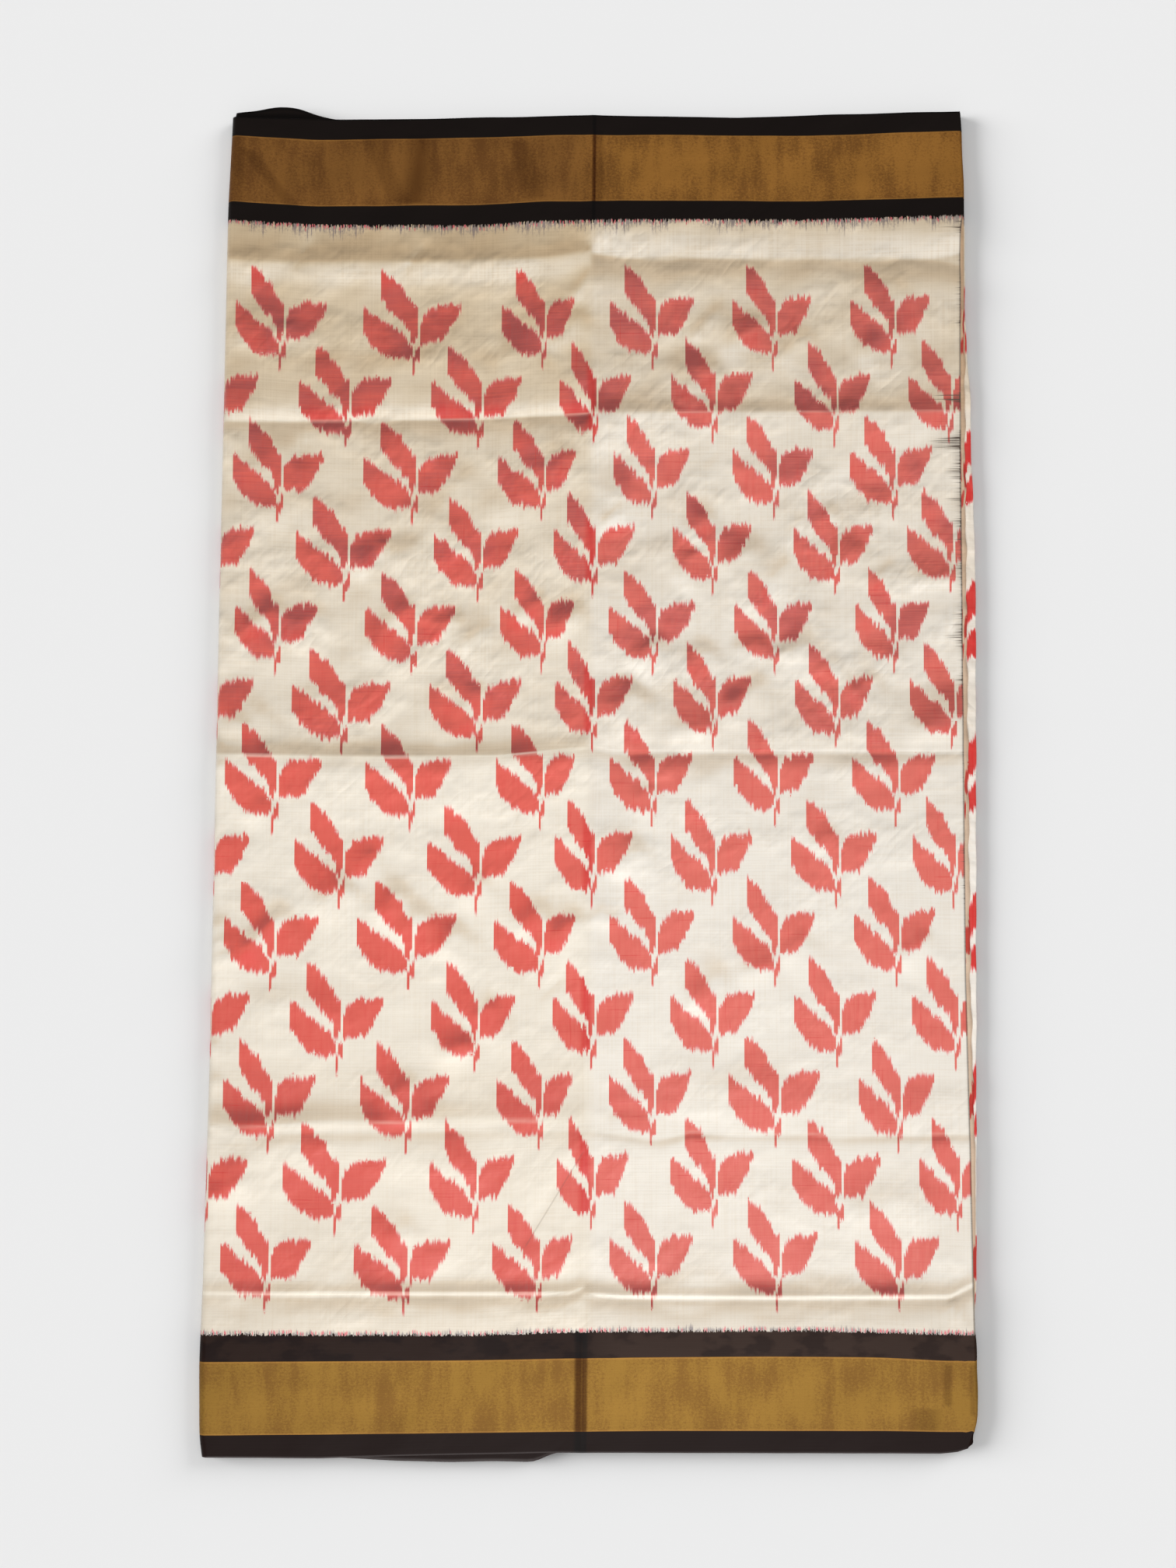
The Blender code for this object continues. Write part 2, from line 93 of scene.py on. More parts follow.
# %% Outlines of the stack, in millimetres
LEFT_FOLD_EDGE = ((-578, -326), (-560, -329), (-502, -330), (-437, -328), (-276, -325),
                  (150, -322), (496, -319), (572, -316))
TOP_CUT_EDGE = ((-575, 309), (-571, 316), (-566, 319.5), (-556, 321), (-470, 319), (-325, 318),
                (-180, 316), (290, 318), (478, 320.5), (488, 323.5), (575, 321.5))
MIDDLE_FOLD_EDGE = ((-568, 317.5), (-556, 321.5), (-500, 321.5), (-475, 320), (-435, 322), (0, 328),
                    (170, 330), (288, 327.5), (318, 328), (345, 326), (409, 324), (500, 325),
                    (575, 322.5))
LOWER_SELVEDGE = ((-326, -578), (-227, -578.7), (-164, -576.8), (-28, -574.2), (290, -574.9),
                  (303, -573.6), (312, -570.8), (318, -566), (321, -560))
UPPER_SELVEDGE = ((-316, 571.7), (-222, 569.2), (-165, 569.6), (0, 573.1), (128, 571),
                  (237, 574.5), (321, 576.5))
CENTRE_CREASE = ((-575, -9), (-440, -8.5), (18, -3.5), (575, 0))


def read(table, at):
    """Value of a two-column table at a place, straight between its rows."""
    places, values = np.array(table, dtype=float).T
    return np.interp(at, places, values)


def read_smooth(table, at, reach=8.0):
    """The mean of five readings over a short reach, so that the table's corners are rounded."""
    shifts = np.linspace(-reach, reach, 5)
    return sum(read(table, at + shift) for shift in shifts) / len(shifts)


print("width at the middle:", round(float(read(MIDDLE_FOLD_EDGE, 0) - read(LEFT_FOLD_EDGE, 0)), 1), "mm")

# %% Heights of the layers, in millimetres
LAYERS = 8
WALL = 1.1
PITCH = 1.5
CLOTH = 0.55
LIP_WIDTH = 60.0
STRIP_WIDTH = 60.0
SEAM_GAP = 0.4


def layer_height(layer):
    """Half a wall, and one pitch more for each layer below."""
    return WALL / 2 + (LAYERS - layer) * PITCH


def swelling(x, y):
    """One, plus a little towards both folds, less a little at the two selvedges."""
    from_left = np.maximum(x - read_smooth(LEFT_FOLD_EDGE, y), 0)
    from_right = np.maximum(read_smooth(MIDDLE_FOLD_EDGE, y) - x, 0)
    to_lower = y - read(LOWER_SELVEDGE, x)
    to_upper = read(UPPER_SELVEDGE, x) - y
    from_end = np.maximum(np.minimum(to_lower, to_upper), 0)
    folds = 0.10 * np.exp(-from_left / 70) + 0.05 * np.exp(-from_right / 60)
    return 1 + folds - 0.04 * np.exp(-from_end / 18)


def swollen(height, factor):
    """The height over the lowest layer, times the factor."""
    return WALL / 2 + (height - WALL / 2) * factor


def left_fold_center(y):
    """The folds at the left are nested half circles round one line: the edge, moved in by the
    outer fold's radius."""
    edge = read_smooth(LEFT_FOLD_EDGE, y)
    return edge + WALL / 2 + (layer_height(1) - layer_height(8)) / 2 * swelling(edge, y)


def strip_start(y):
    """Where the strips at the right end, under the top layer."""
    return read_smooth(TOP_CUT_EDGE, y) - STRIP_WIDTH


print("top of the flat stack:", layer_height(1) + WALL / 2, "mm")

# %% [markdown]
# ## The creases
#
# The sari was stored folded again across its width, so five press creases cross it, and softer
# puckers run between them. On one side of the upright crease a fold stands up. On the other
# side the same fold sinks, because that half lay face to face with it.
#
# Noise would give puckers everywhere alike, so both kinds are listed one by one. A press crease is
# a line, a profile of heights across it and a strength along it, with one set for each half. A
# pucker is a line with a lift, a flank width on each side and a rounding, and it fades out at
# both ends. Slow waves lie under them all, so that no part is quite flat.

# %% One fold line
Fold = namedtuple("Fold", "lift above below rounding fade points")


def folds(rows):
    """Each row has a lift, a flank width above and below, a rounding and a fade, and then X and
    Y of each place on its line."""
    return [Fold(*row[:5], np.reshape(row[5:], (-1, 2))) for row in rows]


def along_line(x, y, points):
    """Nearest place on a bent line: the signed distance to it, positive to the left of its
    direction, and the share of its length at that place."""
    points = np.array(points, dtype=float)
    lengths = np.hypot(*np.diff(points, axis=0).T)
    starts = np.concatenate([[0], np.cumsum(lengths)])
    best = np.full(np.shape(x), 1e9)
    side = np.ones(np.shape(x))
    share = np.zeros(np.shape(x))
    for (x0, y0), (x1, y1), length, start in zip(points[:-1], points[1:], lengths, starts):
        run_x, run_y = (x1 - x0) / length, (y1 - y0) / length
        along = (x - x0) * run_x + (y - y0) * run_y
        held = np.clip(along, 0, length)
        distance = np.hypot(x - x0 - held * run_x, y - y0 - held * run_y)
        across = (y - y0) * run_x - (x - x0) * run_y
        near = distance < best
        best = np.where(near, distance, best)
        side = np.where(near, np.where(across >= 0, 1.0, -1.0), side)
        share = np.where(near, (start + held) / starts[-1], share)
    return best, side, share


def fold_height(x, y, fold):
    """Lift times exp(-(sqrt(d^2 + r^2) - r) / w): d is the distance to the line, r its
    rounding and w the flank's width on that side. The lift fades near the line's two ends."""
    distance, side, share = along_line(x, y, fold.points)
    width = np.where(side > 0, fold.above, fold.below)
    slope = np.exp(-(np.hypot(distance, fold.rounding) - fold.rounding) / width)
    if not fold.fade:
        return fold.lift * slope
    ends = np.clip(np.minimum(share, 1 - share) / fold.fade, 0, 1)
    return fold.lift * slope * ends * ends * (3 - 2 * ends)


# %% The press creases, in millimetres
HIGHEST_HILL, DEEPEST_HOLLOW = 4, 1.05
HALVES_CHANGE, CHANGE_AT_BORDER = 6, 40
GLINT_REACH = 1.6
# glint: a painted highlight on the crease line, or painted shade where it is negative
Crease = namedtuple("Crease", "glint line strength profile")
LEFT_CREASES = (
    # beside the upper border: a bank, with the steep flank towards the border
    Crease(0, ((-324, 444), (-293, 441), (-178, 441), (-83, 443), (-42, 445), (0, 452)),
           ((-325, 0.9), (-250, 1), (-60, 1), (-5, 0.7)),
           ((-45, 0), (-30, 0.1), (-20, 0.4), (-12, 1.4), (-5, 2.4), (-1, 2.9), (1, 2.8), (4, 2.3),
            (12, 1.3), (26, 0.2), (40, 0))),
    # the upper crease, sunk between two banks
    Crease(0.25, ((-327, 300), (-251, 300), (-177, 301), (-96, 302), (-3, 307)),
           ((-325, 0.8), (-240, 0.9), (-170, 1.1), (-60, 1), (-5, 1.1)),
           ((-60, 0), (-40, 0.5), (-18, 0.85), (-9, 0.45), (-3, -0.4), (0, -1), (2, -0.7), (5, 0.1),
            (11, 1.3), (24, 1.9), (40, 1.1), (60, 0))),
    # the middle crease: a standing fold, dark above and level below
    Crease(0.55, ((-330, 10), (-174, 8), (-81, 9), (-3, 16)),
           ((-325, 1), (-150, 1.1), (-60, 0.9), (-25, 0.4), (-3, 0.2)),
           ((-60, 0), (-30, 0.8), (-11, 1.45), (-5, 1.2), (-2, 1.25), (0, 1.35), (1.5, 1.1), (5, 0.6),
            (11, -0.2), (15, -0.35), (25, -0.1), (45, 0))),
    # the faint crease: a bank that is high only at the far left, and a narrow furrow
    Crease(0.2, ((-328, -300), (-303, -305), (-274, -305), (-238, -302), (-185, -302), (-113, -300),
                 (0, -300)),
           ((-325, 0.7), (-305, 1.5), (-240, 1.6), (-215, 1.2), (-190, 1.3), (-130, 1), (-100, 0.5),
            (0, 0.3)),
           ((-60, 0), (-40, 0.3), (-20, 0.75), (-14, 0.7), (-9.5, 0.3), (-5, 0.4), (0, 0.75), (4, 0.6),
            (9, 0.1), (14, -0.35), (20, -0.6), (30, -0.5), (45, -0.2), (60, 0))),
    # the lowest crease: a terrace on the slope up to the border
    Crease(0.45, ((-329, -443), (-275, -443.5), (-41, -443.5), (-18, -443), (-8, -438)),
           ((-325, 0.3), (-285, 0.6), (-240, 1), (-100, 1.1), (-40, 1), (-10, 0.5)),
           ((-100, 0), (-60, 1.1), (-30, 2.4), (-20, 2.8), (-14, 2.5), (-3, 0.8), (-1.5, 0.75), (0, 1),
            (1.2, 1.15), (9, -0.1), (14, -0.2), (30, 0))),
)
RIGHT_CREASES = (
    # beside the upper border, sunk between two banks
    Crease(0, ((0, 449), (25, 445), (161, 444), (330, 444)),
           ((0, 1.1), (40, 1.1), (60, 0.8), (85, 1.05), (130, 1.05), (160, 0.7), (230, 0.8), (265, 1.2),
            (325, 1.2)),
           ((-60, 0), (-42, 0.6), (-24, 1.4), (-16, 1.1), (-8, 0.1), (-3, -0.7), (0, -1), (3, -0.6),
            (10, 0.4), (18, 1.2), (26, 1.5), (40, 0.8), (60, 0))),
    # the upper crease: a standing fold, with its steep flank towards the upper border
    Crease(0.15, ((-3, 308), (93, 308), (328, 309)),
           ((0, 1.1), (120, 1), (325, 0.95)),
           ((-60, 0), (-40, 0.5), (-20, 1.1), (-8, 1.55), (-1, 1.75), (0.5, 1.7), (3, 1.2), (7, 0.6),
            (11, 0.2), (25, -0.1), (40, 0))),
    # the middle crease: a dark groove between two low banks
    Crease(-0.5, ((-3, 16), (18, 12), (158, 12), (324, 12)),
           ((0, 0.6), (35, 1.2), (95, 1.2), (115, 0.8), (150, 1.15), (190, 0.8), (245, 1.2), (265, 0.9),
            (290, 1.2), (325, 0.9)),
           ((-60, 0), (-30, 0.25), (-14, 0.4), (-9, 0.1), (-5, -0.25), (-1.5, -0.75), (0, -0.8),
            (2.5, -0.45), (6.5, -0.45), (11, -0.2), (18, 0.25), (30, 0.2), (60, 0))),
    # the faint crease: a low bank and a fine furrow
    Crease(0.15, ((0, -308), (54, -316), (83, -309), (123, -312), (178, -311), (211, -313), (306, -311)),
           ((0, 0.4), (60, 1.2), (100, 1.3), (112, 0.6), (160, 0.9), (200, 0.5), (240, 1.1), (310, 1.1)),
           ((-40, 0), (-12, 0.3), (-6, 0.25), (-2, -0.15), (0, -0.2), (6, -0.1), (20, 0))),
    # the lowest crease: a terrace, as on the left half
    Crease(0.45, ((-7, -444), (24, -446), (155, -447), (299, -446), (310, -440), (319, -436)),
           ((0, 0.8), (40, 1.2), (90, 0.9), (140, 1.1), (200, 0.9), (245, 1.1), (315, 0.8)),
           ((-100, 0), (-70, 0.9), (-35, 2.4), (-22, 2.8), (-14, 2.6), (-8, 1.9), (-3, 0.9), (-1.5, 0.8),
            (0, 1.1), (1.2, 1.35), (9, 0), (16, -0.2), (30, 0))),
)
PRESS_FOLDS = folds((
    # the upright crease down the middle
    (0.9, 4, 6, 0.6, 0, -9, -582, -9, -445, -4, 18, 0, 571),
    # short folds that branch from the creases
    (-0.8, 3, 4, 0.6, 0.2, 8, -293, 30, -289, 51, -292),
    (1, 5, 8, 0.5, 0.15, -327, -303, -303, -311, -282, -313), (1.2, 3, 6, 0.5, 0.1, 299, -449, 315, -475),
    (1, 5, 6, 1, 0.2, -41, -459, -15, -449, 2, -444),
))


def crease_height(x, y, crease):
    """The crease's profile, read at the offset across its line, times its strength there."""
    offset = y - read(crease.line, x)
    return read_smooth(crease.profile, offset, 0.8) * read_smooth(crease.strength, x)


def by_half(x, y, width, value):
    """The sum of a value over the left half's creases, or over the right half's, with a change
    over a width at the upright crease."""
    left, right = (sum(value(x, y, crease) for crease in half) for half in (LEFT_CREASES, RIGHT_CREASES))
    share = np.clip((x - read(CENTRE_CREASE, y)) / width + 0.5, 0, 1)
    return left + (right - left) * share


def press_height(x, y):
    """The creases' heights, whose halves change more slowly on the upper border, and the press
    folds on them."""
    width = HALVES_CHANGE + (CHANGE_AT_BORDER - HALVES_CHANGE) * np.clip((y - 452) / 20, 0, 1)
    return by_half(x, y, width, crease_height) + sum(fold_height(x, y, fold) for fold in PRESS_FOLDS)


def line_glint(x, y, crease):
    """The crease's painted highlight, or painted shade if negative, as a tent that reaches a little to each
    side of its line.
    """
    return crease.glint * np.clip(1 - np.abs(y - read(crease.line, x)) / GLINT_REACH, 0, 1)


def glint(x, y):
    """The painted highlight on a crease line itself, as a share of pale silk mixed in: negative values are
    painted shade on a dark groove.
    """
    return by_half(x, y, HALVES_CHANGE, line_glint)


def crumple(x, y):
    """The sum of 14 slow waves, each its height times sin(2 pi (x, y).direction / length). They
    run aslant, as the puckers do, and are lower in the smoother lower part."""
    random = np.random.default_rng(5)
    height = np.zeros(np.shape(x))
    for length in np.linspace(22, 87, 14):
        angle, phase = math.radians(random.uniform(85, 185)), random.uniform(0, 2 * math.pi)
        along = (x * math.cos(angle) + y * math.sin(angle)) / length
        height = height + 0.0022 * length * np.sin(2 * math.pi * along + phase)
    upper = np.clip((y + 60) / 120, 0, 1)
    return height * (0.4 + 0.6 * upper)


def relief(x, y):
    """Creases, puckers and waves together. Hills are rounded off towards the highest one, and no
    hollow is deeper than the next layer lets it be."""
    puckers = sum(fold_height(x, y, fold) for fold in PUCKERS)
    height = press_height(x, y) + puckers + crumple(x, y)
    return np.maximum(HIGHEST_HILL * np.tanh(height / HIGHEST_HILL), -DEEPEST_HOLLOW)


# %% The soft puckers, in millimetres
PUCKERS = folds((
    # upper left
    (-1, 4, 4, 0.7, 0.35, -262, 432, -252, 447, -242, 465),
    (-0.9, 3, 4, 0.6, 0.35, -168, 426, -157, 442, -145, 456),
    (3.3, 13, 26, 3, 0.3, -149, 192, -126, 231, -99, 263),
    (3.3, 16, 27, 3, 0.3, -182, 174, -146, 195, -112, 216), (2.6, 12, 14, 2, 0.3, -209, 165, -172, 197),
    (2.6, 20, 27, 5, 0.3, -85, 211, -42, 245, -15, 284),
    (1.9, 18, 24, 5, 0.3, -194, 341, -137, 358, -89, 371), (2.6, 12, 15, 2, 0.3, -44, 359, -4, 401),
    (1.8, 13, 20, 4, 0.3, -86, 357, -39, 368), (1.9, 4, 7, 0.6, 0.35, -22, 404, 1, 437),
    (-1, 6, 6, 1.5, 0.35, -265, 256, -240, 289), (1.8, 16, 24, 5, 0.3, -315, 370, -278, 380, -224, 375),
    (1.9, 15, 24, 5, 0.3, -317, 253, -280, 267, -257, 287),
    (1.6, 15, 22, 5, 0.3, -310, 214, -263, 226, -223, 223),
    # upper right
    (2.4, 7, 14, 1.5, 0.35, 79, 366, 117, 408), (2.8, 10, 17, 2, 0.35, 106, 359, 154, 392),
    (2.6, 14, 17, 3, 0.3, 67, 322, 114, 351), (2.1, 8, 14, 2, 0.35, 157, 351, 193, 382),
    (2.6, 14, 20, 3, 0.3, 224, 353, 274, 385), (1.9, 12, 17, 3, 0.3, 238, 390, 277, 421),
    (-0.8, 2.5, 2.5, 0.5, 0.4, 92, 258, 114, 282), (1.9, 2.5, 5, 0.4, 0.3, 2, 204, 15, 216, 29, 224),
    (1.8, 6, 10, 1.2, 0.35, 164, 189, 185, 221), (2.8, 10, 14, 2, 0.35, 76, 192, 106, 222),
    (2.6, 10, 14, 2, 0.35, 65, 157, 95, 191), (2.4, 12, 17, 3, 0.35, 102, 164, 147, 197),
    (1.4, 8, 12, 2, 0.35, 187, 206, 213, 225), (2.1, 11, 15, 2, 0.35, 196, 164, 237, 193),
    (1.6, 5, 8, 1, 0.35, 147, 151, 171, 181), (1.6, 5, 8, 1, 0.35, 236, 151, 262, 180),
    (1.9, 13, 8, 1.5, 0.25, 266, 159, 321, 164), (1.4, 10, 15, 3, 0.35, 8, 226, 35, 253),
    (1.4, 12, 20, 4, 0.35, 119, 233, 166, 250, 207, 246),
    # middle left
    (3.3, 12, 14, 1.5, 0.3, -198, 87, -175, 122, -149, 146), (2.1, 6, 10, 1.2, 0.35, -120, 96, -83, 126),
    (2.8, 10, 10, 1.2, 0.35, -75, 120, -39, 150), (2.6, 9, 15, 2, 0.35, -45, 111, -4, 139),
    (2.1, 10, 14, 2, 0.35, -142, 111, -111, 134), (2.3, 9, 12, 1.5, 0.35, -299, 115, -265, 143),
    (1.9, 8, 12, 1.5, 0.35, -315, 103, -286, 126), (2.1, 10, 15, 3, 0.35, -266, 112, -223, 136),
    (2.1, 11, 15, 2, 0.35, -121, 36, -90, 73), (2.1, 11, 10, 1.5, 0.35, -140, 22, -97, 42),
    (1.9, 8, 10, 1.5, 0.3, -320, 26, -297, 44), (1.9, 14, 17, 3, 0.35, -307, 20, -275, 54),
    (1.6, 8, 12, 2, 0.35, -300, -50, -274, -27), (3.3, 21, 17, 2.5, 0.3, -249, -120, -223, -116, -200, -95),
    (3.5, 6, 14, 0.6, 0.3, -306, -167, -282, -144, -258, -116),
    (2.6, 8, 14, 1.2, 0.35, -185, -134, -159, -99), (2.4, 9, 14, 1.5, 0.35, -173, -153, -139, -116),
    (2.4, 9, 14, 1.5, 0.35, -136, -165, -109, -132), (2.4, 10, 15, 2, 0.35, -73, -146, -36, -116),
    (2.6, 8, 14, 1.2, 0.35, -43, -154, -7, -123), (1.6, 9, 14, 2, 0.35, -212, -97, -182, -70),
    (1.6, 9, 14, 2, 0.35, -118, -120, -88, -92), (1.2, 5, 8, 1, 0.3, -335, -7, -309, 2),
    (1.4, 4, 8, 1, 0.3, -334, -141, -308, -132), (1.4, 4, 8, 1, 0.3, -334, -155, -307, -145),
    (1.6, 5, 8, 1, 0.3, -335, -169, -301, -159), (1.2, 5, 8, 1, 0.3, -334, -242, -315, -236),
    (1.2, 5, 8, 1, 0.3, -335, -275, -310, -264),
    # middle right
    (2.6, 10, 15, 2, 0.35, 28, 84, 62, 114), (3.3, 10, 14, 1.5, 0.35, 12, 37, 42, 73),
    (2.6, 16, 10, 1.5, 0.3, 60, 26, 109, 37), (3, 10, 20, 2, 0.35, 104, 44, 153, 77),
    (2.3, 9, 14, 1.5, 0.35, 114, 99, 156, 107), (1.9, 9, 15, 2, 0.35, 154, 92, 193, 112),
    (1.8, 9, 14, 2, 0.35, 76, 80, 105, 107), (1.8, 9, 14, 2, 0.35, 181, 71, 216, 93),
    (1.9, 10, 15, 2, 0.35, 214, 57, 249, 80), (2.3, 20, 14, 2, 0.3, 264, 24, 322, 45),
    (1.4, 12, 17, 3, 0.35, 55, -19, 115, -10), (2.4, 12, 15, 2, 0.35, 12, -96, 46, -63),
    (1.4, 8, 14, 2, 0.35, 180, -72, 212, -54), (1.4, 8, 14, 2, 0.35, 29, -36, 55, -14),
    # lower left
    (3, 13, 14, 1.5, 0.35, -138, -250, -95, -232), (1.9, 8, 14, 2, 0.35, -111, -221, -77, -199),
    (-0.8, 2, 2.5, 0.4, 0.3, -49, -200, -17, -169),
    (-0.7, 1.8, 2, 0.4, 0.2, -64, -411, -41, -371, -6, -323),
    (2.1, 10, 14, 2, 0.35, -183, -290, -146, -262), (2.1, 9, 14, 1.5, 0.3, -331, -368, -284, -346),
    (1.4, 7, 12, 1.5, 0.35, -320, -347, -282, -330), (1.4, 10, 15, 3, 0.35, -182, -407, -147, -381),
    (1.6, 14, 20, 4, 0.3, -249, -441, -217, -429, -171, -438),
    (-0.8, 5, 7, 1, 0.3, -196, -451, -158, -459, -118, -452),
    (0.9, 4, 8, 1, 0.3, -170, -449, -141, -454, -112, -448),
    (-0.7, 4, 6, 1, 0.3, -104, -456, -78, -461, -50, -457),
    (-0.6, 5, 6, 1, 0.3, -318, -452, -282, -460, -240, -455),
    (1.2, 14, 24, 5, 0.3, -304, -208, -252, -201, -199, -215),
    (1.2, 16, 24, 5, 0.3, -191, -338, -133, -332, -80, -345),
    # lower right
    (1.9, 12, 17, 3, 0.35, 77, -212, 116, -166), (2.1, 12, 14, 2, 0.35, 116, -182, 162, -165),
    (1.4, 9, 15, 2, 0.35, 254, -173, 290, -140), (1.4, 9, 15, 2, 0.35, 153, -170, 187, -140),
    (1.2, 4, 7, 0.8, 0.3, -10, -137, 8, -126, 27, -137),
    (1.2, 14, 24, 5, 0.3, 57, -267, 116, -273, 176, -264),
    (1.2, 14, 24, 5, 0.3, 194, -377, 253, -371, 305, -380),
    (1.4, 10, 14, 2, 0.35, 37, -441, 90, -430, 129, -438),
    (-0.8, 4, 6, 1, 0.3, 38, -454, 78, -460, 112, -454),
    (-0.7, 4, 6, 1, 0.3, 124, -455, 151, -461, 186, -456),
    (-0.6, 4, 6, 1, 0.3, 206, -456, 236, -461, 272, -455),
    (0.8, 5, 8, 1.5, 0.3, 168, -430, 198, -437, 226, -431),
))
print(len(LEFT_CREASES) + len(RIGHT_CREASES), "halves of creases and", len(PUCKERS), "puckers")

# %% [markdown]
# ## A cloth as a grid
#
# Every stretch of the cloth is one grid. Along one direction it runs out over the stack, round
# a fold and back, and along the other it runs from selvedge to selvedge. The rows lie closer
# together beside a crease, where the surface bends fast, and further apart between them. That
# shows a sharp crease with a third of the faces that an even grid would need.

# %% Rows from selvedge to selvedge
NOMINAL_GUIDES = (-575, -443, -312, 13, 309, 449, 575)
GUIDE_LINES = (
    LOWER_SELVEDGE,
    ((-325, -442.5), (-41, -443), (-8, -439), (24, -446), (299, -447), (322, -438)),
    ((-325, -302), (-240, -305), (-30, -308), (60, -314), (318, -313)),
    ((-325, 11), (-174, 9), (-81, 9), (-4, 17), (18, 12.5), (322, 12)),
    ((-325, 300), (-177, 301), (-96, 302), (-3, 307), (322, 309)),
    ((-325, 443), (-178, 441), (-42, 445), (0, 450), (25, 445), (322, 444)),
    UPPER_SELVEDGE,
)


def spaced(start, end, coarse, fine, near, reach):
    """Places from start to end, fine apart within reach of a near place and coarse apart
    elsewhere: the count of steps is the integral of one over the spacing."""
    line = np.linspace(start, end, 4001)
    closeness = sum(np.exp(-((line - place) / reach) ** 2) for place in near)
    spacing = coarse + (fine - coarse) * np.minimum(closeness, 1)
    steps = np.concatenate([[0], np.cumsum(np.diff(line) / spacing[1:])])
    count = max(int(round(steps[-1])), 1)
    return np.interp(np.linspace(0, steps[-1], count + 1), steps, line)


def row_y(nominal, x):
    """Y of a row at places along X: its share between two guide lines is kept all along."""
    lines = np.array([read(line, x) for line in GUIDE_LINES])
    which = np.clip(np.searchsorted(NOMINAL_GUIDES, nominal, side="right") - 1, 0, len(lines) - 2)
    low, high = np.array(NOMINAL_GUIDES)[which], np.array(NOMINAL_GUIDES)[which + 1]
    share = (nominal - low) / (high - low)
    below = np.take_along_axis(lines, which[None], axis=0)[0]
    above = np.take_along_axis(lines, which[None] + 1, axis=0)[0]
    return below + share * (above - below)


FINE_ROWS = spaced(-575, 575, 5.0, 1.5, NOMINAL_GUIDES, 8)
PLAIN_ROWS = spaced(-575, 575, 16, 2.5, (-575, 575), 12)
print(len(FINE_ROWS), "fine rows,", len(PLAIN_ROWS), "plain rows")

# %% [markdown]
# ## Coordinates that follow the cloth
#
# The dye was tied into the silk before weaving, so the pattern belongs to the threads and not
# to the room. Two UV maps carry it. In `cloth`, U is the length along the folded cloth and V is
# the place across it, both in metres, with V pulled straight so that each border line has one
# value. In `sprig`, U counts half columns of leaf sprigs and V counts their rows, so every
# sprig's middle lies on whole numbers, although the weaver's columns grow narrower to the right.
#
# Three numbers go with the maps, because a finish cannot work them out by itself: `lean` is
# the cloth's slope across its width, which the finish uses to paint light and shade, `glint`
# is a painted highlight on the press crease lines, or painted shade where it is negative, and
# `to_cut` is the distance to the frayed cut end.

# %% Straight coordinates
BORDER_LINES = (
    (-576, LOWER_SELVEDGE),
    (-556, ((-314, -560), (-100, -558), (60, -556.3), (240, -556.3), (315, -557.5))),
    (-496, ((-314, -500), (-100, -498.5), (40, -496), (150, -495.3), (240, -496), (300, -499))),
    (-478, ((-314, -477.5), (-100, -478), (-15, -475), (180, -474.2), (315, -477.5))),
    (478, ((-314, 479.5), (-246, 475), (-97, 474.5), (-42, 478.8), (66, 480), (189, 479.5), (315, 483))),
    (496, ((-314, 495.5), (-246, 490.8), (-97, 492.5), (-42, 495.5), (66, 496.2), (189, 495.5), (315, 499))),
    (556, ((-314, 555), (-246, 550.7), (-97, 552.8), (-42, 555), (66, 555.6), (189, 554.2), (315, 559))),
    (576, UPPER_SELVEDGE),
)
SPRIG_COLUMNS = (-326, -271.9, -213.9, -155.1, -98.3, -43.7, 0.8, 51.8, 103.5, 156.3, 208.8, 259.3, 308.5)
SPRIG_ROWS = (390.9, 323.4, 257.2, 190.3, 124.5, 58.0, -8.7, -75.6, -143.2, -211.1, -279.1, -348.2, -414.5)


def straight_v(x, y):
    """Y with the border lines pulled straight: each line's own Y becomes its even value."""
    values = [value for value, line in BORDER_LINES]
    lines = [read_smooth(line, x) for value, line in BORDER_LINES]
    straight = np.where(y < lines[0], values[0] + y - lines[0], values[-1] + y - lines[-1])
    for low, high, line, above in zip(values, values[1:], lines, lines[1:]):
        between = low + (high - low) * (y - line) / (above - line)
        straight = np.where((y >= line) & (y <= above), between, straight)
    return straight


def counted(places, at):
    """How many places lie before this one, with shares, and on past both ends."""
    places = np.array(places, dtype=float)
    order = np.arange(len(places))
    inside = np.interp(at, places, order)
    before = (at - places[0]) / (places[1] - places[0])
    after = order[-1] + (at - places[-1]) / (places[-1] - places[-2])
    return np.where(at < places[0], before, np.where(at > places[-1], after, inside))


def sprig_count(u, v):
    """Half columns from the left and rows from the top. Columns lean by 0.24 mm a row."""
    row = counted([-place for place in SPRIG_ROWS], -v)
    return counted(SPRIG_COLUMNS, u + 0.24 * row), row


print("rows of sprigs:", len(SPRIG_ROWS))

# %% One grid of cloth
FAR_FROM_CUT = 1000
Sheet = namedtuple("Sheet", "x y z u v")


def write_values(mesh, name, values):
    """One number for each point, which a finish can read by its name."""
    layer = mesh.attributes.new(name, "FLOAT", "POINT")
    layer.data.foreach_set("value", values.astype(np.float32).ravel())


def lean_of(sheet):
    """How far the cloth leans towards the lower border: its climb along Y, as a slope."""
    return np.gradient(sheet.z, axis=0) / np.gradient(sheet.y, axis=0)


def write_uv(mesh, name, u, v):
    """One UV map from a value of U and V for each point."""
    layer = mesh.uv_layers.new(name=name)
    corner_points = np.empty(len(mesh.loops), dtype=np.int32)
    mesh.loops.foreach_get("vertex_index", corner_points)
    values = np.stack([np.ravel(u), np.ravel(v)], axis=-1)[corner_points]
    layer.data.foreach_set("uv", values.astype(np.float32).ravel())


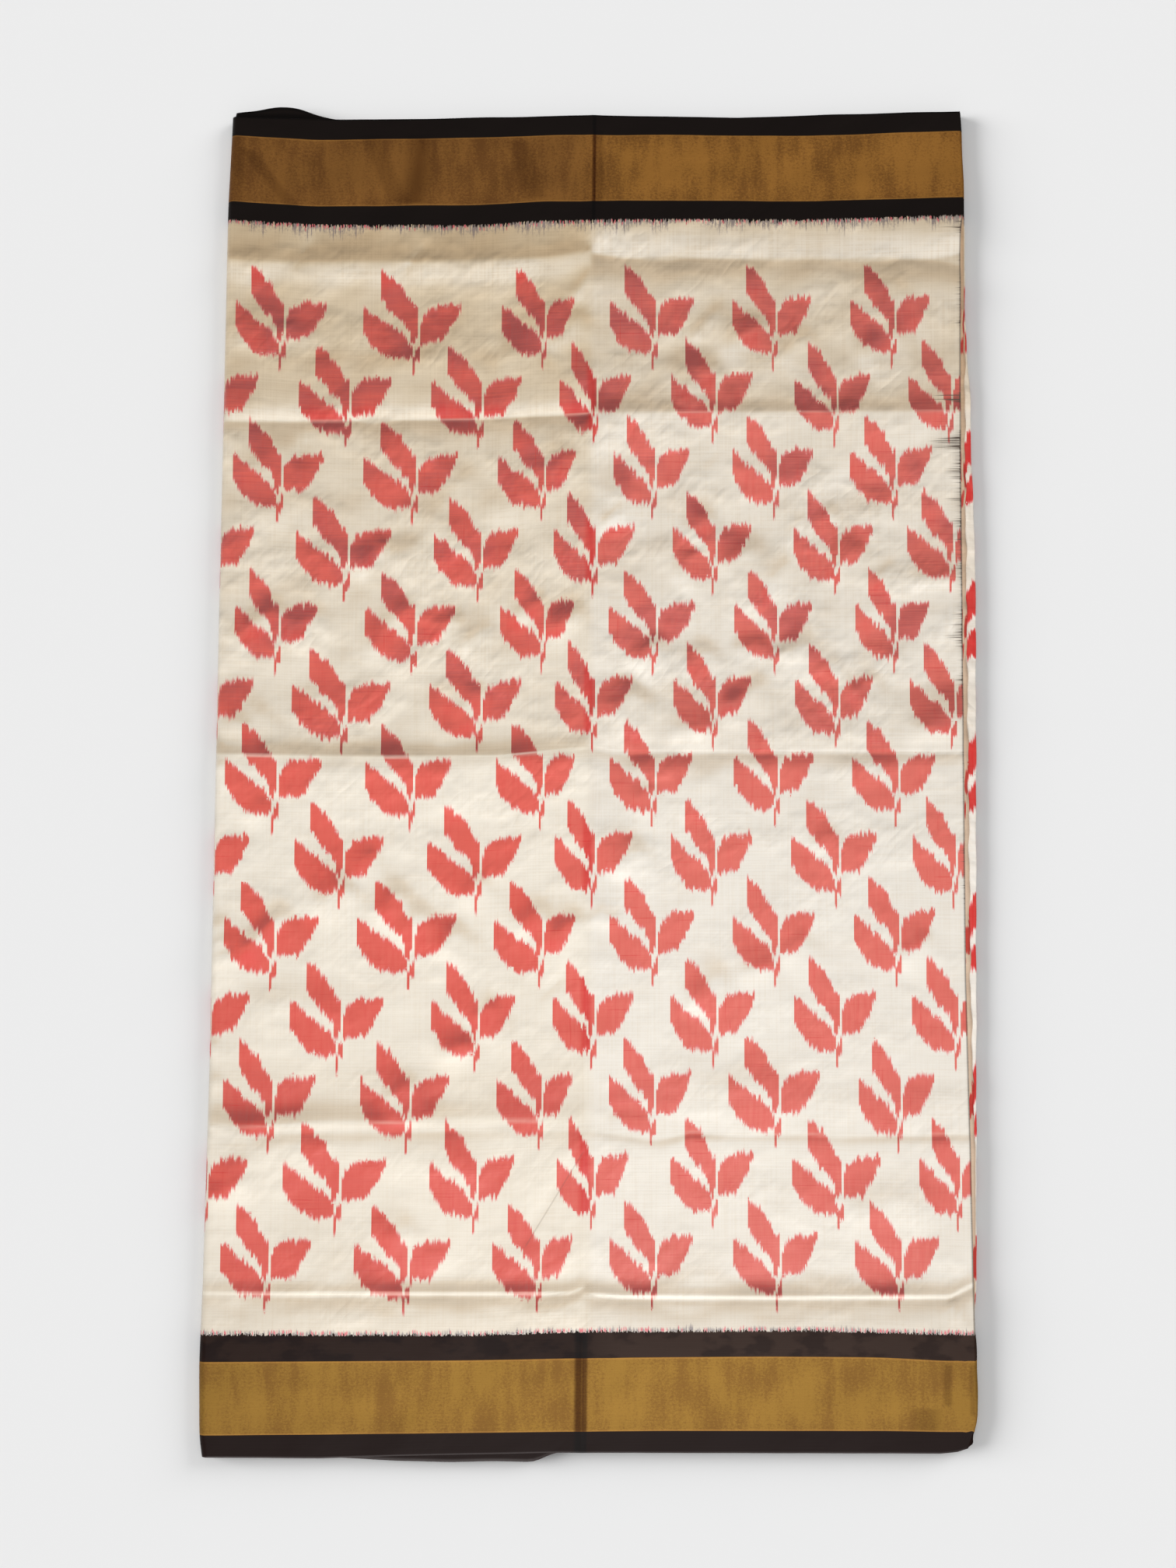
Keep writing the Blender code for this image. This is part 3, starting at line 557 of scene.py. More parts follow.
def make_cloth(name, sheet, flip=False, offset=-1, column_shift=0.0, on_top=False):
    """A mesh of the sheet's grid with its two UV maps, its lean, its glint and its distance
    from the cut end in millimetres, given its thickness by Solidify. Only the top cloth has
    a glint and a frayed end."""
    rows, columns = sheet.x.shape
    points = np.stack([sheet.x, sheet.y, sheet.z], axis=-1).reshape(-1, 3) * MM
    start = np.arange(rows - 1)[:, None] * columns + np.arange(columns - 1)[None]
    corners = (start, start + 1, start + columns + 1, start + columns)
    faces = np.stack(corners[::-1] if flip else corners, axis=-1).reshape(-1, 4)
    mesh = bpy.data.meshes.new(name)
    mesh.from_pydata(points, [], faces)
    column, row = sprig_count(sheet.u, sheet.v)
    write_uv(mesh, "cloth", sheet.u * MM, sheet.v * MM)
    write_uv(mesh, "sprig", column + column_shift, row)
    write_values(mesh, "lean", lean_of(sheet))
    write_values(mesh, "glint", glint(sheet.x, sheet.y) if on_top else 0 * sheet.x)
    write_values(mesh, "to_cut", sheet.x[:, -1:] - sheet.x if on_top else FAR_FROM_CUT + 0 * sheet.x)
    mesh.shade_smooth()
    cloth = add_object(name, mesh)
    wall = cloth.modifiers.new("thickness", "SOLIDIFY")
    wall.thickness = CLOTH * MM
    wall.offset = offset
    print(name, len(faces), "faces before its thickness")
    return cloth


# %% [markdown]
# ## The top layer and the fold at the left
#
# The top stretch starts as a lip under the stack, turns over at the left in one round fold and
# runs to its cut end at the right. A flat sheet with a bent edge would show a kink, so the
# whole way is one path: a straight run, a half circle and another straight run, with the
# creases added along its outward side.

# %% The top cloth
NOMINAL_X = (-311, -3.5, 318)


def top_sheet():
    """Path in three parts. Lip: X falls to the fold's centre line on the low level. Fold: the
    centre plus the radius times (-cosine, sine). Top: X rises to the cut edge."""
    y = FINE_ROWS
    center = left_fold_center(y)[:, None]
    factor = swelling(read_smooth(LEFT_FOLD_EDGE, y), y)[:, None]
    low = swollen(layer_height(8), factor) - WALL / 2
    high = swollen(layer_height(1), factor) + WALL / 2
    radius = (high - low) / 2
    lip = np.linspace(LIP_WIDTH, 0, 5)[None, :-1]
    angle = np.linspace(-math.pi / 2, math.pi / 2, 15)[None, :-1]
    across = spaced(NOMINAL_X[0], NOMINAL_X[2], 5.0, 1.6, (NOMINAL_X[1], 316), 6)
    guides = np.array([left_fold_center(y), read(CENTRE_CREASE, y), read_smooth(TOP_CUT_EDGE, y)])
    flat_x = np.array([np.interp(across, NOMINAL_X, line) for line in guides.T])
    turn_x = center - radius * np.cos(angle)
    x = np.concatenate([center + lip, turn_x, flat_x], axis=1)
    y = row_y(FINE_ROWS[:, None] + 0 * x, x)
    top_y = y[:, -len(across):]
    flat_z = swollen(layer_height(1), swelling(flat_x, top_y)) + WALL / 2
    z = np.concatenate([low + 0 * lip, (low + high) / 2 + radius * np.sin(angle), flat_z], axis=1)
    outward = np.clip(np.concatenate([0 * lip, np.sin(angle), 1 + 0 * across[None]], axis=1), 0, 1)
    z = z + relief(x, y) * outward
    bend_u = center - radius * (math.pi / 2 - angle)
    lip_u = center - radius * math.pi - lip
    u = np.concatenate([lip_u, bend_u, flat_x], axis=1)
    return Sheet(x, y, z, u, straight_v(x, y))


top_cloth = make_cloth("top_cloth", top_sheet(), on_top=True)

# %% [markdown]
# ## The layers below
#
# The other seven layers are runs of the same cloth, joined by folds at the left and the right.
# Seen from above they show only as thin lines at the right, and as black selvedges that peek
# out at two places. Seen from the side they are a pile of separate sheets, so each one is made,
# with a little more or less cloth at its ends, as a hand leaves them.

# %% Runs and turns
def run(y, start, end, steps, layer, up):
    """A straight run on one layer: X from start to end, Z the layer's swollen height."""
    x = start + (end - start) * np.linspace(0, 1, steps + 1)[None]
    z = swollen(layer_height(layer), swelling(x, y + 0 * x))
    return x, z, 0 * x, up + 0 * x


def turn(y, center, first_layer, last_layer, side, steps):
    """A half circle from one layer to another: centre plus radius times (cosine, sine)."""
    factor = swelling(center + 5 * side, y)
    first = swollen(layer_height(first_layer), factor)
    last = swollen(layer_height(last_layer), factor)
    climb = np.sign(last - first)
    angle = climb * np.linspace(-math.pi / 2, math.pi / 2, steps + 1)[None, 1:-1]
    radius = np.abs(last - first) / 2
    across, upward = side * np.cos(angle), np.sin(angle)
    return center + radius * across, (first + last) / 2 + radius * upward, across, upward


def folded_sheet(nominal, parts, outward, last_u, ends=None):
    """The parts of a path joined, and moved out by a share of the wall. U counts back along
    the path from its last place."""
    x, z, across, upward = (np.concatenate(pieces, axis=1) for pieces in zip(*parts))
    lengths = np.hypot(np.diff(x, axis=1), np.diff(z, axis=1))
    along = np.concatenate([0 * x[:, :1], np.cumsum(lengths, axis=1)], axis=1)
    x, z = x + across * outward, z + upward * outward
    y = row_y(nominal[:, None] + 0 * x, x)
    v = straight_v(x, y)
    if ends is not None:
        y = y + ends(x, y, z)
    return Sheet(x, y, z, last_u + along - along[:, -1:], v)


# %% The layers below, in millimetres
UPPER_PEEK = ((-322, 2.5), (-308, 4.6), (-293, 6.2), (-284, 9), (-272, 11), (-258, 10.2), (-244, 5),
              (-232, 1.8), (-218, 0))
LOWER_PEEK = ((-218, 0), (-195, 1.2), (-160, 5), (-120, 6.6), (-49, 7.6), (-42, 4.4), (-34, 1), (-28, 0))
LOWER_INSETS = {2: 0.9, 3: 1.4, 4: 0.8, 5: 1.8, 6: 0.9, 7: 1.6}
UPPER_INSETS = {2: 1.0, 3: 0.9, 4: 1.9, 5: 0.9, 6: 1.2, 7: 2.2}


def uneven_ends(x, y, z):
    """Each layer's selvedges lie in by their own inset and wander by a third of a millimetre.
    The second layer's also peek out where the tables say. It all fades within 40 mm."""
    layer = LAYERS - (z - WALL / 2) / PITCH
    lower = np.interp(layer, list(LOWER_INSETS), list(LOWER_INSETS.values()))
    upper = np.interp(layer, list(UPPER_INSETS), list(UPPER_INSETS.values()))
    wander = 0.35 * np.sin(x / 31 + 2.4 * np.round(layer)) + 0.25 * np.sin(x / 11.3 + 1.3 * np.round(layer))
    second = np.clip((2.9 - layer) * 2, 0, 1)
    lower_peek, upper_peek = read_smooth(LOWER_PEEK, x, 5.0), read_smooth(UPPER_PEEK, x, 5.0)
    lower = lower + wander - second * (lower_peek + (lower_peek > 0) * 0.6)
    upper = upper - wander - second * (upper_peek + (upper_peek > 0) * 0.6)
    near_lower = np.exp(-np.maximum(y - read(LOWER_SELVEDGE, x), 0) / 40)
    near_upper = np.exp(-np.maximum(read(UPPER_SELVEDGE, x) - y, 0) / 40)
    return lower * near_lower - upper * near_upper


def outer_fold_center(y):
    """The fold of layers 8 to 5 lies 1.5 mm in from the one that reaches furthest."""
    edge = read_smooth(MIDDLE_FOLD_EDGE, y) - 1.5
    return edge - WALL / 2 - (layer_height(5) - layer_height(8)) / 2 * swelling(edge, y)


def under_sheet():
    """Layer 8 from the lip's end out to the right, up round the outer fold, back on layer 5."""
    y = PLAIN_ROWS[:, None]
    center = outer_fold_center(y)
    start = left_fold_center(y) + LIP_WIDTH + SEAM_GAP
    parts = (run(y, start, center, 36, 8, -1), turn(y, center, 8, 5, 1, 10),
             run(y, center, strip_start(y), 6, 5, 1))
    return folded_sheet(PLAIN_ROWS, parts, WALL / 2, last_u=290)


def fold_sheet():
    """Layer 4 out to the right, up round the fold that reaches furthest, back on layer 3."""
    y = FINE_ROWS[:, None]
    ripple = 0.22 * np.sin(y / 7.3) + 0.18 * np.sin(y / 17.1 + 1)
    fold_edge = read_smooth(MIDDLE_FOLD_EDGE, y, 4.0) + ripple
    center = fold_edge - WALL / 2 - PITCH / 2 * swelling(fold_edge, y)
    parts = (run(y, strip_start(y), center, 8, 4, -1), turn(y, center, 4, 3, 1, 8),
             run(y, center, strip_start(y), 12, 3, 1))
    return folded_sheet(FINE_ROWS, parts, WALL / 2, last_u=266)


def second_sheet():
    """Layer 2 from under the top layer to its own cut end, which shows by 4 mm."""
    y = FINE_ROWS[:, None]
    fray = 0.5 * np.sin(y / 9.1) + 0.4 * np.sin(y / 4.3 + 2)
    shows = np.minimum(read_smooth(TOP_CUT_EDGE, y) + 4.0 + fray, read_smooth(MIDDLE_FOLD_EDGE, y) - 1.2)
    parts = (run(y, strip_start(y), shows, 14, 2, 1),)
    return folded_sheet(FINE_ROWS, parts, WALL / 2, last_u=321)


def inner_sheets():
    """Two paths. Layer 5 left, up round the innermost fold and back on layer 4. Layer 3 left,
    down to 6, right, down to 7, left, up to 2 and right again."""
    y = PLAIN_ROWS[:, None]
    left, right, far = left_fold_center(y), strip_start(y), outer_fold_center(y)
    short = (run(y, right, left, 30, 5, -1), turn(y, left, 5, 4, -1, 6), run(y, left, right, 30, 4, 1))
    long = (run(y, right, left, 30, 3, 1), turn(y, left, 3, 6, -1, 8), run(y, left, far, 32, 6, 1),
            turn(y, far, 6, 7, 1, 6), run(y, far, left, 32, 7, 1), turn(y, left, 7, 2, -1, 10),
            run(y, left, right, 110, 2, 1))
    return [folded_sheet(PLAIN_ROWS, parts, 0, last_u=260, ends=uneven_ends) for parts in (short, long)]


under_cloth = make_cloth("under_cloth", under_sheet(), flip=True)
fold_cloth = make_cloth("fold_cloth", fold_sheet(), flip=True, column_shift=1.03)
second_cloth = make_cloth("second_cloth", second_sheet(), column_shift=0.86)
inner_pair, inner_layers = [make_cloth(name, sheet, offset=0, column_shift=0.3)
                            for name, sheet in zip(("inner_pair", "inner_layers"), inner_sheets())]

# %% [markdown]
# ## Shader maths
#
# A finish is a tree of nodes, and its sums are hard to read when each node is made by hand. One
# small class wraps a socket, so that an expression such as `1 - mask` adds the Math nodes that
# it needs.

# %% Values and finishes
class Value:
    """One socket of a finish. Arithmetic on it adds Math nodes to the finish."""

    def __init__(self, finish, socket):
        self.finish = finish
        self.socket = socket

    def __add__(self, other):
        return self.finish.math("ADD", self, other)

    def __sub__(self, other):
        return self.finish.math("SUBTRACT", self, other)

    def __rsub__(self, other):
        return self.finish.math("SUBTRACT", other, self)

    def __mul__(self, other):
        return self.finish.math("MULTIPLY", self, other)

    def __truediv__(self, other):
        return self.finish.math("DIVIDE", self, other)

    __radd__ = __add__
    __rmul__ = __mul__


class Finish:
    """A material with one Principled shader, or a second one mixed over it, and short ways to
    add nodes to it."""

    def __init__(self, name):
        self.material = bpy.data.materials.new(name)
        self.material.use_nodes = True
        self.tree = self.material.node_tree
        self.shader = self.tree.nodes["Principled BSDF"]

    def second_shader(self, share):
        """Another Principled shader, mixed over the first one by a share."""
        second = self.tree.nodes.new("ShaderNodeBsdfPrincipled")
        mixed = self.tree.nodes.new("ShaderNodeMixShader")
        self.give(mixed.inputs, {0: share})
        self.tree.links.new(self.shader.outputs[0], mixed.inputs[1])
        self.tree.links.new(second.outputs[0], mixed.inputs[2])
        self.tree.links.new(mixed.outputs[0], self.tree.nodes["Material Output"].inputs["Surface"])
        return second.inputs

    def node(self, kind, settings, inputs, output=0):
        """Any node: its settings first, then a value or a link for each of its inputs."""
        node = self.tree.nodes.new(kind)
        for name, setting in settings.items():
            setattr(node, name, setting)
        self.give(node.inputs, inputs)
        return Value(self, node.outputs[output])

    def give(self, sockets, values):
        """A plain number or colour is set in its socket, and a Value is linked to it."""
        for key, value in values.items():
            if isinstance(value, Value):
                self.tree.links.new(value.socket, sockets[key])
            else:
                sockets[key].default_value = value

    def curve(self, value, table, span, full, middle=0.0):
        """A table read at a value, straight between its rows. The curve node works from 0 to 1,
        so places are shares of a span about 0, and what they hold are shares of a full value."""
        share = self.clamp(value / span + 0.5)
        held = self.node("ShaderNodeFloatCurve", {}, {"Factor": 1.0, "Value": share})
        mapping = held.socket.node.mapping
        points = mapping.curves[0].points
        while len(points) < len(table):
            points.new(1.0, 1.0)
        for point, (at, number) in zip(points, table):
            point.location = (at / span + 0.5, number / full + middle)
            point.handle_type = "VECTOR"
        mapping.update()
        return (held - middle) * full

    def math(self, operation, *values):
        return self.node("ShaderNodeMath", {"operation": operation}, dict(enumerate(values)))

    def clamp(self, value):
        return self.node("ShaderNodeClamp", {}, {0: value})

    def smooth(self, value, low, high):
        """0 below low and 1 above high, with a smooth step between."""
        settings = {"interpolation_type": "SMOOTHSTEP"}
        return self.node("ShaderNodeMapRange", settings, {"Value": value, "From Min": low, "From Max": high})

    def point(self, x, y, z):
        return self.node("ShaderNodeCombineXYZ", {}, {"X": x, "Y": y, "Z": z})

    def floor(self, value):
        return self.math("FLOOR", value)

    def size(self, value):
        return self.math("ABSOLUTE", value)

    def noise(self, x, y, z, detail=2.0, roughness=0.5):
        """Noise with lumps as wide as one over the factor that each place is multiplied by."""
        inputs = {"Vector": self.point(x, y, z), "Scale": 1.0, "Detail": detail, "Roughness": roughness}
        return self.node("ShaderNodeTexNoise", {}, inputs)

    def dice(self, x, y, z):
        """Three even random numbers that stay the same for the same whole numbers. A number of
        its own in z sets one use apart from the next."""
        color = self.node("ShaderNodeTexWhiteNoise", {}, {"Vector": self.point(x, y, z)}, 1)
        return [self.node("ShaderNodeSeparateColor", {}, {0: color}, i) for i in range(3)]

    def mix(self, first, second, share, blend="MIX"):
        settings = {"data_type": "RGBA", "blend_type": blend}
        first, second = ((*c, 1) if isinstance(c, tuple) else c for c in (first, second))
        return self.node("ShaderNodeMix", settings, {0: share, 6: first, 7: second}, 2)


def linear(red, green, blue):
    """A colour given as a screen shows it, 0 to 255, as the linear values that nodes use."""
    shares = [value / 255 for value in (red, green, blue)]
    return tuple(s / 12.92 if s <= 0.04045 else ((s + 0.055) / 1.055) ** 2.4 for s in shares)


print("cream silk in linear values:", [round(c, 3) for c in linear(232, 222, 200)])

# %% [markdown]
# ## The leaf sprig as a weaver's chart
#
# In weft ikat the silk is bundled, tied and dyed before it is woven, so a leaf is made of
# upright strokes about two millimetres wide. Each stroke starts and ends a little off its
# neighbour's, and its ends are frayed and pink. An image would only repeat one sprig. Here a
# short chart gives, for places across the sprig, where the dye starts and ends, and every
# bundle then slips by its own amount.
# Up to two strokes cross at one place: the top leaf, and below it the left leaf, the stem or
# the right leaf.

# %% The chart, in millimetres from the sprig's middle
SPRIG_WIDTH, SPRIG_HEIGHT = 90.0, 110.0
STROKE = 1.95
GONE = (54.0, -54.0)
# place across the sprig, foot and top of its stroke
TOP_LEAF = (
    (-26.1, *GONE), (-26, 21, 45.5), (-24, 18.5, 45), (-21.5, 14.5, 43), (-18.5, 10, 40.5), (-13, 4, 35.5),
    (-7.3, -1, 28.5), (-3.6, -7, 21), (-2, -18, 18), (0.9, -20, 15), (1.0, -14, 15), (2.8, -12, 13.5),
    (2.9, *GONE),
)
LOWER_STROKES = (
    (-41.1, *GONE), (-41, -8, 14), (-38, -11, 13), (-34.5, -18, 10), (-30, -23, 6.3), (-25.5, -27.5, 2.7),
    (-20, -31, -2), (-15, -32, -5.4), (-9, -33, -10.2), (-5, -32.5, -14.5), (-1.1, -31, -22),
    (-1.0, -46, -30), (0.9, -46, -30), (1.0, -36, -27), (2.8, -36, -24), (2.9, -35, -21), (4.8, -35, -21),
    (4.9, -18.5, -1), (7, -18, 7), (11, -17, 12), (16.4, -17, 14.5), (22, -16.5, 16), (25.3, -12, 16),
    (28.6, -6.5, 16), (32.6, 0, 16), (36, 8, 16.5), (37.9, 11, 17), (38, *GONE),
)


def chart_curve(finish, place, strokes, part):
    """The foot, part 0, or the top, part 1, of the stroke at a place across the sprig."""
    half = SPRIG_WIDTH / 2
    table = [(x, ends[part]) for x, *ends in strokes]
    table = [(-half, table[0][1]), *table, (half, table[-1][1])]
    return finish.curve(place, table, SPRIG_WIDTH, SPRIG_HEIGHT, 0.5)


def inside_strokes(finish, place, height, strokes):
    """How far inside a stroke a height lies, in millimetres: negative outside it."""
    foot, top = (chart_curve(finish, place, strokes, part) for part in (0, 1))
    return finish.math("MINIMUM", top - height, height - foot)


sprig_reach = LOWER_STROKES[-1][0] - LOWER_STROKES[0][0]
print("the sprig is", round(sprig_reach / STROKE), "strokes wide")


# %% Sprigs on every second crossing
COLUMN_STEP, ROW_STEP = 56.6, 67.1


def nearest_crossing(finish, value, odd, last=None):
    """The nearest even or odd whole number, and no further than the last row."""
    whole = finish.floor((value - odd) * 0.5 + 0.5) * 2 + odd
    if last is None:
        return whole
    return finish.math("MINIMUM", finish.math("MAXIMUM", whole, float(odd)), float(last - odd))


def sprig_depth(finish, column, row, odd_row, loose_thread):
    """Depth of the dye, in millimetres, in the sprigs on the even or on the odd rows."""
    near_row = nearest_crossing(finish, row, odd_row, len(SPRIG_ROWS) - 1)
    near_column = nearest_crossing(finish, column, 1 - odd_row)
    slip_x, slip_y, breadth = finish.dice(near_column, near_row, 3.0)
    x = ((column - near_column) * COLUMN_STEP + (slip_x - 0.5) * 1.4) / (breadth * 0.16 + 0.92)
    y = (near_row - row) * ROW_STEP + (slip_y - 0.5) * 2.4
    bundle = finish.floor(x / STROKE + 0.5)
    first, second, fray = finish.dice(bundle, near_column + 40.0, near_row + 40.0)
    depths = []
    for number, strokes in ((first, TOP_LEAF), (second, LOWER_STROKES)):
        swing = number * 2 - 1
        slip = swing * swing * swing * 1.8 + swing * 0.9
        depths.append(inside_strokes(finish, bundle * STROKE, y + slip, strokes))
    depth = finish.math("MAXIMUM", *depths) + loose_thread
    return depth / (fray * fray * 2.8 + 1.9)


# %% [markdown]
# ## The silk
#
# One finish serves the whole cloth, because the pattern lies in its UV maps: cream silk with
# red sprigs, a black stripe, a gold band and a second black stripe along both selvedges. Silk
# threads differ in thickness, so faint streaks run both ways, and the thicker slubs show in
# the red. Where the black weft starts, each bundle of threads starts at its own height, with
# grey and pink ends.
#
# Light and shade are partly painted into these colours. The dyes follow the cloth's lean:
# deeper and paler where it leans to the light, duller and browner in painted shade where it
# leans away. A table of bands beside the creases and the borders paints shade there, the crease
# lines get a painted highlight or painted shade, and dark lines of painted shade lie in folds on
# the borders and along one crease in the field. At the cut end the gaps between loose threads
# and the very edge are painted shade. The cream, the black and the gold are lighter towards the
# lower border, as painted sheen, and the black partly from fading. The borders have a shader of
# their own, mixed over the first one: the metal thread is partly metallic, grained and blotched,
# and shines less than the silk. The two strips that show at the right have the same finish with
# more dye, painted brighter on the rounded fold and darker and browner on the narrow strip in
# the stack's shade.

# %% Colours
# cream: the lower tones are paler and whiter, as a painted sheen
CREAM_UPPER = linear(226, 206, 174)
CREAM_LOWER_LEFT = linear(231, 223, 209)
CREAM_LOWER_RIGHT = linear(232, 226, 216)
CREAM_SLUB = linear(206, 186, 156)
RED_LEFT = linear(218, 90, 76)
RED_RIGHT = linear(221, 107, 94)
# painted shade: bands beside the creases and the borders, and dark crease grooves
PAINTED_SHADE_TINT = (0.80, 0.76, 0.70)
SHADE_TINT = (1.0, 0.935, 0.855)
# painted highlight on the crease lines
CREASE_HIGHLIGHT = linear(246, 238, 220)
# painted fold shade on the borders
FOLD_SHADE_TINT = (0.25, 0.16, 0.12)
# red in painted shade, and red deepened by painted light, in thick threads and in the strips
DULL_RED = linear(174, 82, 80)
DEEP_RED = linear(204, 34, 28)
PINK_RIM = linear(226, 112, 116)
# black and gold: the lower and right tones are partly painted light, the black partly faded
BLACK_UPPER = linear(17, 9, 6)
BLACK_LOWER = linear(33, 17, 10)
BLACK_OUTER = linear(21, 5, 2)
BLACK_FADED_AND_SHEEN = linear(48, 33, 26)
GREY_DYE = linear(104, 92, 102)
PINK_DYE = linear(206, 62, 88)
GOLD_UPPER_LEFT = linear(144, 98, 47)
GOLD_UPPER_RIGHT = linear(166, 115, 52)
GOLD_LOWER = linear(144, 108, 46)
GOLD_STAIN = linear(96, 58, 28)
GOLD_LINE = linear(176, 126, 62)
# painted shade at the cut end and on one crease line
PAINTED_SHADE_BROWN = linear(84, 70, 58)

# widths of threads, and the length of a stitch, in millimetres
WEAVE, FINE_THREAD, DYED_THREAD, LOOSE_THREAD = 0.9, 0.6, 0.95, 0.7
STITCH = 9.0


def cloth_places(finish):
    """U and V of the cloth in millimetres, and the sprigs' column and row."""
    both = []
    for name in ("cloth", "sprig"):
        uv = finish.node("ShaderNodeUVMap", {"uv_map": name}, {})
        both += [finish.node("ShaderNodeSeparateXYZ", {}, {0: uv}, i) for i in range(2)]
    return both[0] * 1000, both[1] * 1000, both[2], both[3]


def sprig_mask(finish, u, v, column, row):
    """1 where the weft is dyed red: both lattices of sprigs, with frayed thread ends. And 1 in
    the dye's rim, where it ran thin."""
    loose, _, _ = finish.dice(finish.floor(u / DYED_THREAD), finish.floor(v / STITCH), 7.0)
    loose = (loose - 0.5) * 3.2
    depths = [sprig_depth(finish, column, row, odd, loose) for odd in (0, 1)]
    depth = finish.math("MAXIMUM", *depths)
    return finish.clamp(depth + 0.5), 1 - finish.smooth(depth, 0.2, 1.1)


# places from the cloth's middle towards a selvedge, and where the upright crease crosses
BLACK_START, GOLD_START, GOLD_END = 478.2, 496.0, 556.0
GOLD_SOFTNESS, EDGE_LINE = 0.3, 1.1
UPRIGHT_AT, UPRIGHT_LEAN = -3.9, 0.0094


def from_upright(u, v):
    """Distance to the right of the upright crease, in millimetres."""
    return u - v * UPRIGHT_LEAN - UPRIGHT_AT


def border_masks(finish, u, v):
    """Masks of the black silk, of the grey dye ends and fuzz before it, of the pink dye ends, of
    the gold band and of its two edge lines."""
    side = finish.math("SIGN", v)
    away = finish.size(v)
    tall, wide, pick = finish.dice(finish.floor(u / WEAVE), side, 11.0)
    short, _, _ = finish.dice(finish.floor(u / FINE_THREAD), side, 12.0)
    patch = finish.noise(u * 0.03, side * 7.0, 6.0)
    spikes = tall * tall * tall * (side * 0.9 + 2.6) + short * short * 1.2
    start = BLACK_START - spikes
    black = finish.smooth(away - start, -0.4, 0.5)
    reach = 2.0 + wide * finish.smooth(patch, 0.36, 0.62) * (side * 6 + 10)
    ends = finish.clamp((1 - (start - away) / reach) * 1.5) * (1 - black)
    fuzz = finish.noise(u * 0.5, v * 0.3, 19.0, roughness=0.7)
    soft = finish.clamp(1.2 - (start - away) / (finish.smooth(patch, 0.4, 0.6) * 9 + 3)) * (1 - black)
    fuzz = soft * finish.smooth(fuzz, 0.46, 0.6) * (side * 0.35 + 0.35)
    grey = finish.clamp(ends * finish.smooth(pick, 0.3, 0.7) + fuzz)
    pink = finish.clamp(2 - (start - away) / 1.8) * (1 - black) * (1 - finish.smooth(pick, 0.22, 0.3))
    from_middle = finish.size(away - (GOLD_START + GOLD_END) / 2)
    half = (GOLD_END - GOLD_START) / 2
    gold = finish.smooth(from_middle, half + GOLD_SOFTNESS, half - GOLD_SOFTNESS)
    half = half - EDGE_LINE
    line = gold * (1 - finish.smooth(from_middle, half + GOLD_SOFTNESS, half - GOLD_SOFTNESS))
    return black * (1 - gold), grey, pink, gold, line


# %% Painted shade bands of the two halves, as shares over the place across the cloth in millimetres
CURVE_SPAN = 1000.0
SHADE_BANDS_LEFT = (
    (480, 1), (447, 1), (441, 0.4), (400, 0.45), (383, 0.6), (350, 0.45), (306, 0.5), (302, 0.3), (100, 0.2),
    (60, 0.25), (36, 0.35), (30, 0.5), (24, 0.85), (12, 0.9), (6, 0.3), (2, 0), (-10, 0), (-245, 0.3),
    (-262, 0.6), (-290, 0.6), (-298, 0.65), (-304, 0.4), (-430, 0.4), (-440, 0.7), (-480, 0.8),
)
SHADE_BANDS_RIGHT = (
    (480, 0.5), (447, 0.45), (350, 0.45), (312, 0.55), (306, 0), (200, 0.1), (165, 0.45), (140, 0.05),
    (70, 0.25), (60, 0.55), (16, 0.5), (10, 0.3), (-100, 0.2), (-260, 0.3), (-280, 0.5), (-300, 0.35),
    (-430, 0.45), (-440, 0.9), (-480, 1),
)


def shade_band_share(finish, u, v):
    """How much painted shade the silk gets, 0 to 1, in bands beside the creases and the borders: two curves
    along V, one for each side of the upright crease.
    """
    halves = [finish.curve(v, table[::-1], CURVE_SPAN, 1.0) for table in (SHADE_BANDS_LEFT, SHADE_BANDS_RIGHT)]
    change = finish.smooth(v, 445.0, 470.0) * 17 + 3
    right = finish.smooth(from_upright(u, v) / change, -1.0, 1.0)
    return halves[0] + (halves[1] - halves[0]) * right


# %% Lines of painted fold shade, and the frayed cut end with its painted shade
# each mark: u where v is 0, lean, half width, lowest and highest v, strength
BORDER_FOLD_SHADE = (
    # painted shade in the upright crease: one line on the upper band, two on the lower one
    (UPRIGHT_AT, UPRIGHT_LEAN, 1.5, 470, 580, 0.85), (0.6, UPRIGHT_LEAN, 3.5, 492, 560, 0.35),
    (-7.4, UPRIGHT_LEAN, 3.2, -580, -476, 0.9), (-2.2, UPRIGHT_LEAN, 1.9, -580, -476, 0.8),
    # painted shade of folds at the upper left and at the lower right
    (-315.0, 0.0, 10.0, 492, 560, 0.3), (146.5, -0.827, 6.0, 493, 544, 0.3),
    (-209.0, 0.1, 9.0, 498, 560, 0.3), (40.0, -0.42, 8.0, 500, 560, 0.26),
    (-228.0, 0.15, 9.0, 498, 556, 0.3), (100.0, -0.3, 9.0, 500, 552, 0.3),
    (278.0, 0.0, 11.0, -555, -537, 0.3), (296.0, 0.0, 3.2, -534, -499, 0.32),
    (317.0, 0.0, 2.6, -542, -499, 0.3),
)
# a line of painted shade along one slanting crease in the field
FIELD_CREASE_SHADE = ((198.2, 0.628, 0.7, -406, -329, 0.25),)
FRAY_FULL = 80.0
